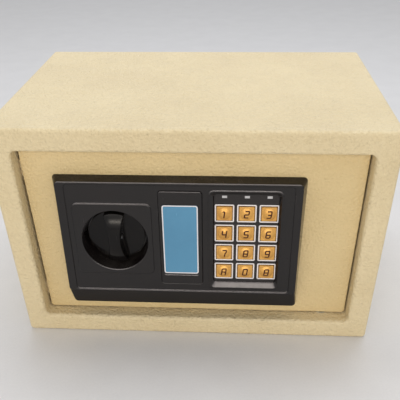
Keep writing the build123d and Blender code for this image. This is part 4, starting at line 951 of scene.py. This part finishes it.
# %% The tree of ribs
lid_ribs, given, result = geometry_tree(
    "lid_ribs",
    {"Length": "Float", "Radius": "Float", "Pitch": "Float", "Count": "Int", "Finish": "Material"},
)
tree = lid_ribs
half = maths(tree, "MULTIPLY", given["Length"], 0.5)
start = put(tree, "ShaderNodeCombineXYZ", {"X": maths(tree, "MULTIPLY", half, -1.0)})[0]
end = put(tree, "ShaderNodeCombineXYZ", {"X": half})[0]
axis_line = put(tree, "GeometryNodeCurvePrimitiveLine", {"Start": start, "End": end})[0]
round_sizes = {"Resolution": 16, "Radius": given["Radius"]}
round_section = put(tree, "GeometryNodeCurvePrimitiveCircle", round_sizes)[0]
rod = swept(tree, axis_line, round_section, caps=True)
step = put(tree, "ShaderNodeCombineXYZ", {"Y": given["Pitch"]})[0]
points = put(tree, "GeometryNodeMeshLine", {"Count": given["Count"], "Offset": step})[0]
copies = put(tree, "GeometryNodeInstanceOnPoints", {"Points": points, "Instance": rod})[0]
end_tree(tree, copies, given["Finish"], result)
print("lid_ribs nodes", len(tree.nodes))

# %% Ribs on the lid
lid_low, lid_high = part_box("battery_lid")
rib_count, rib_pitch = 6, 3.0 * mm
ribs = grow(
    lid_ribs,
    "battery_lid_ribs",
    {
        "Length": 24 * mm, "Radius": 0.7 * mm, "Pitch": rib_pitch, "Count": rib_count,
        "Finish": finishes["black_moulding"],
    },
)
ribs_bottom = (lid_low.z + lid_high.z) / 2 - rib_pitch * (rib_count - 1) / 2
ribs_place = Matrix.Translation(((lid_low.x + lid_high.x) / 2, lid_high.y, ribs_bottom)) @ facing_back
set_down(ribs, "battery_lid", ribs_place)

# %% [markdown]
# ## Felt mat
# The floor inside is covered with a loose sheet of felt, with two holes round the anchor bolts. It
# is a grid of small squares. Those inside a hole go, and the vertices round it move onto its
# circle. The sheet then gets its thickness and a slight unevenness.

# %% A sheet with two holes
mat_low, mat_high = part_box("floor_mat")
mat_size = mat_high - mat_low
hole_radius = 12 * mm
anchor_x, anchor_y = 75 * mm, 20 * mm
hole_places = [Vector((x, anchor_y)) for x in (-anchor_x, anchor_x)]
cell = 2.5 * mm
counts = [round(mat_size[axis] / cell) for axis in range(2)]
mat_middle = Matrix.Translation(((mat_low.x + mat_high.x) / 2, (mat_low.y + mat_high.y) / 2, mat_low.z))
grid_place = mat_middle @ Matrix.Diagonal((mat_size.x / 2, mat_size.y / 2, 1, 1))
work = bmesh.new()
bmesh.ops.create_grid(work, x_segments=counts[0], y_segments=counts[1], size=1.0, matrix=grid_place)
for hole in hole_places:
    inside = [f for f in work.faces if (f.calc_center_median().xy - hole).length < hole_radius]
    bmesh.ops.delete(work, geom=inside, context="FACES")
    for vertex in work.verts:
        away = vertex.co.xy - hole
        if vertex.is_boundary and away.length < hole_radius + cell:
            vertex.co.xy = hole + away.normalized() * hole_radius
print("felt squares", len(work.faces))

# %% Its thickness and unevenness
unevenness = 0.12 * mm
waves_per_metre = 40
felt_thickness = mat_size.z - 0.15 * mm
bottom = list(work.faces)
raised = bmesh.ops.extrude_face_region(work, geom=bottom, use_keep_orig=True)["geom"]
for vertex in raised:
    if isinstance(vertex, bmesh.types.BMVert):
        wave = noise.noise(vertex.co * waves_per_metre) * 0.5 + 0.5
        vertex.co.z += felt_thickness + unevenness * wave
bmesh.ops.recalc_face_normals(work, faces=work.faces)
felt_mesh = bpy.data.meshes.new("felt_mat")
work.to_mesh(felt_mesh)
work.free()
for face in felt_mesh.polygons:
    face.use_smooth = True
print("felt faces", len(felt_mesh.polygons))

# %% The mat on the case's floor
felt_mat = bpy.data.objects.new("felt_mat", felt_mesh)
scene.collection.objects.link(felt_mat)
felt_mesh.materials.append(finishes["mat_felt"])
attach(felt_mat, "case")
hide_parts("floor_mat")
print("felt", [round(step / mm, 1) for step in mat_size], "mm")
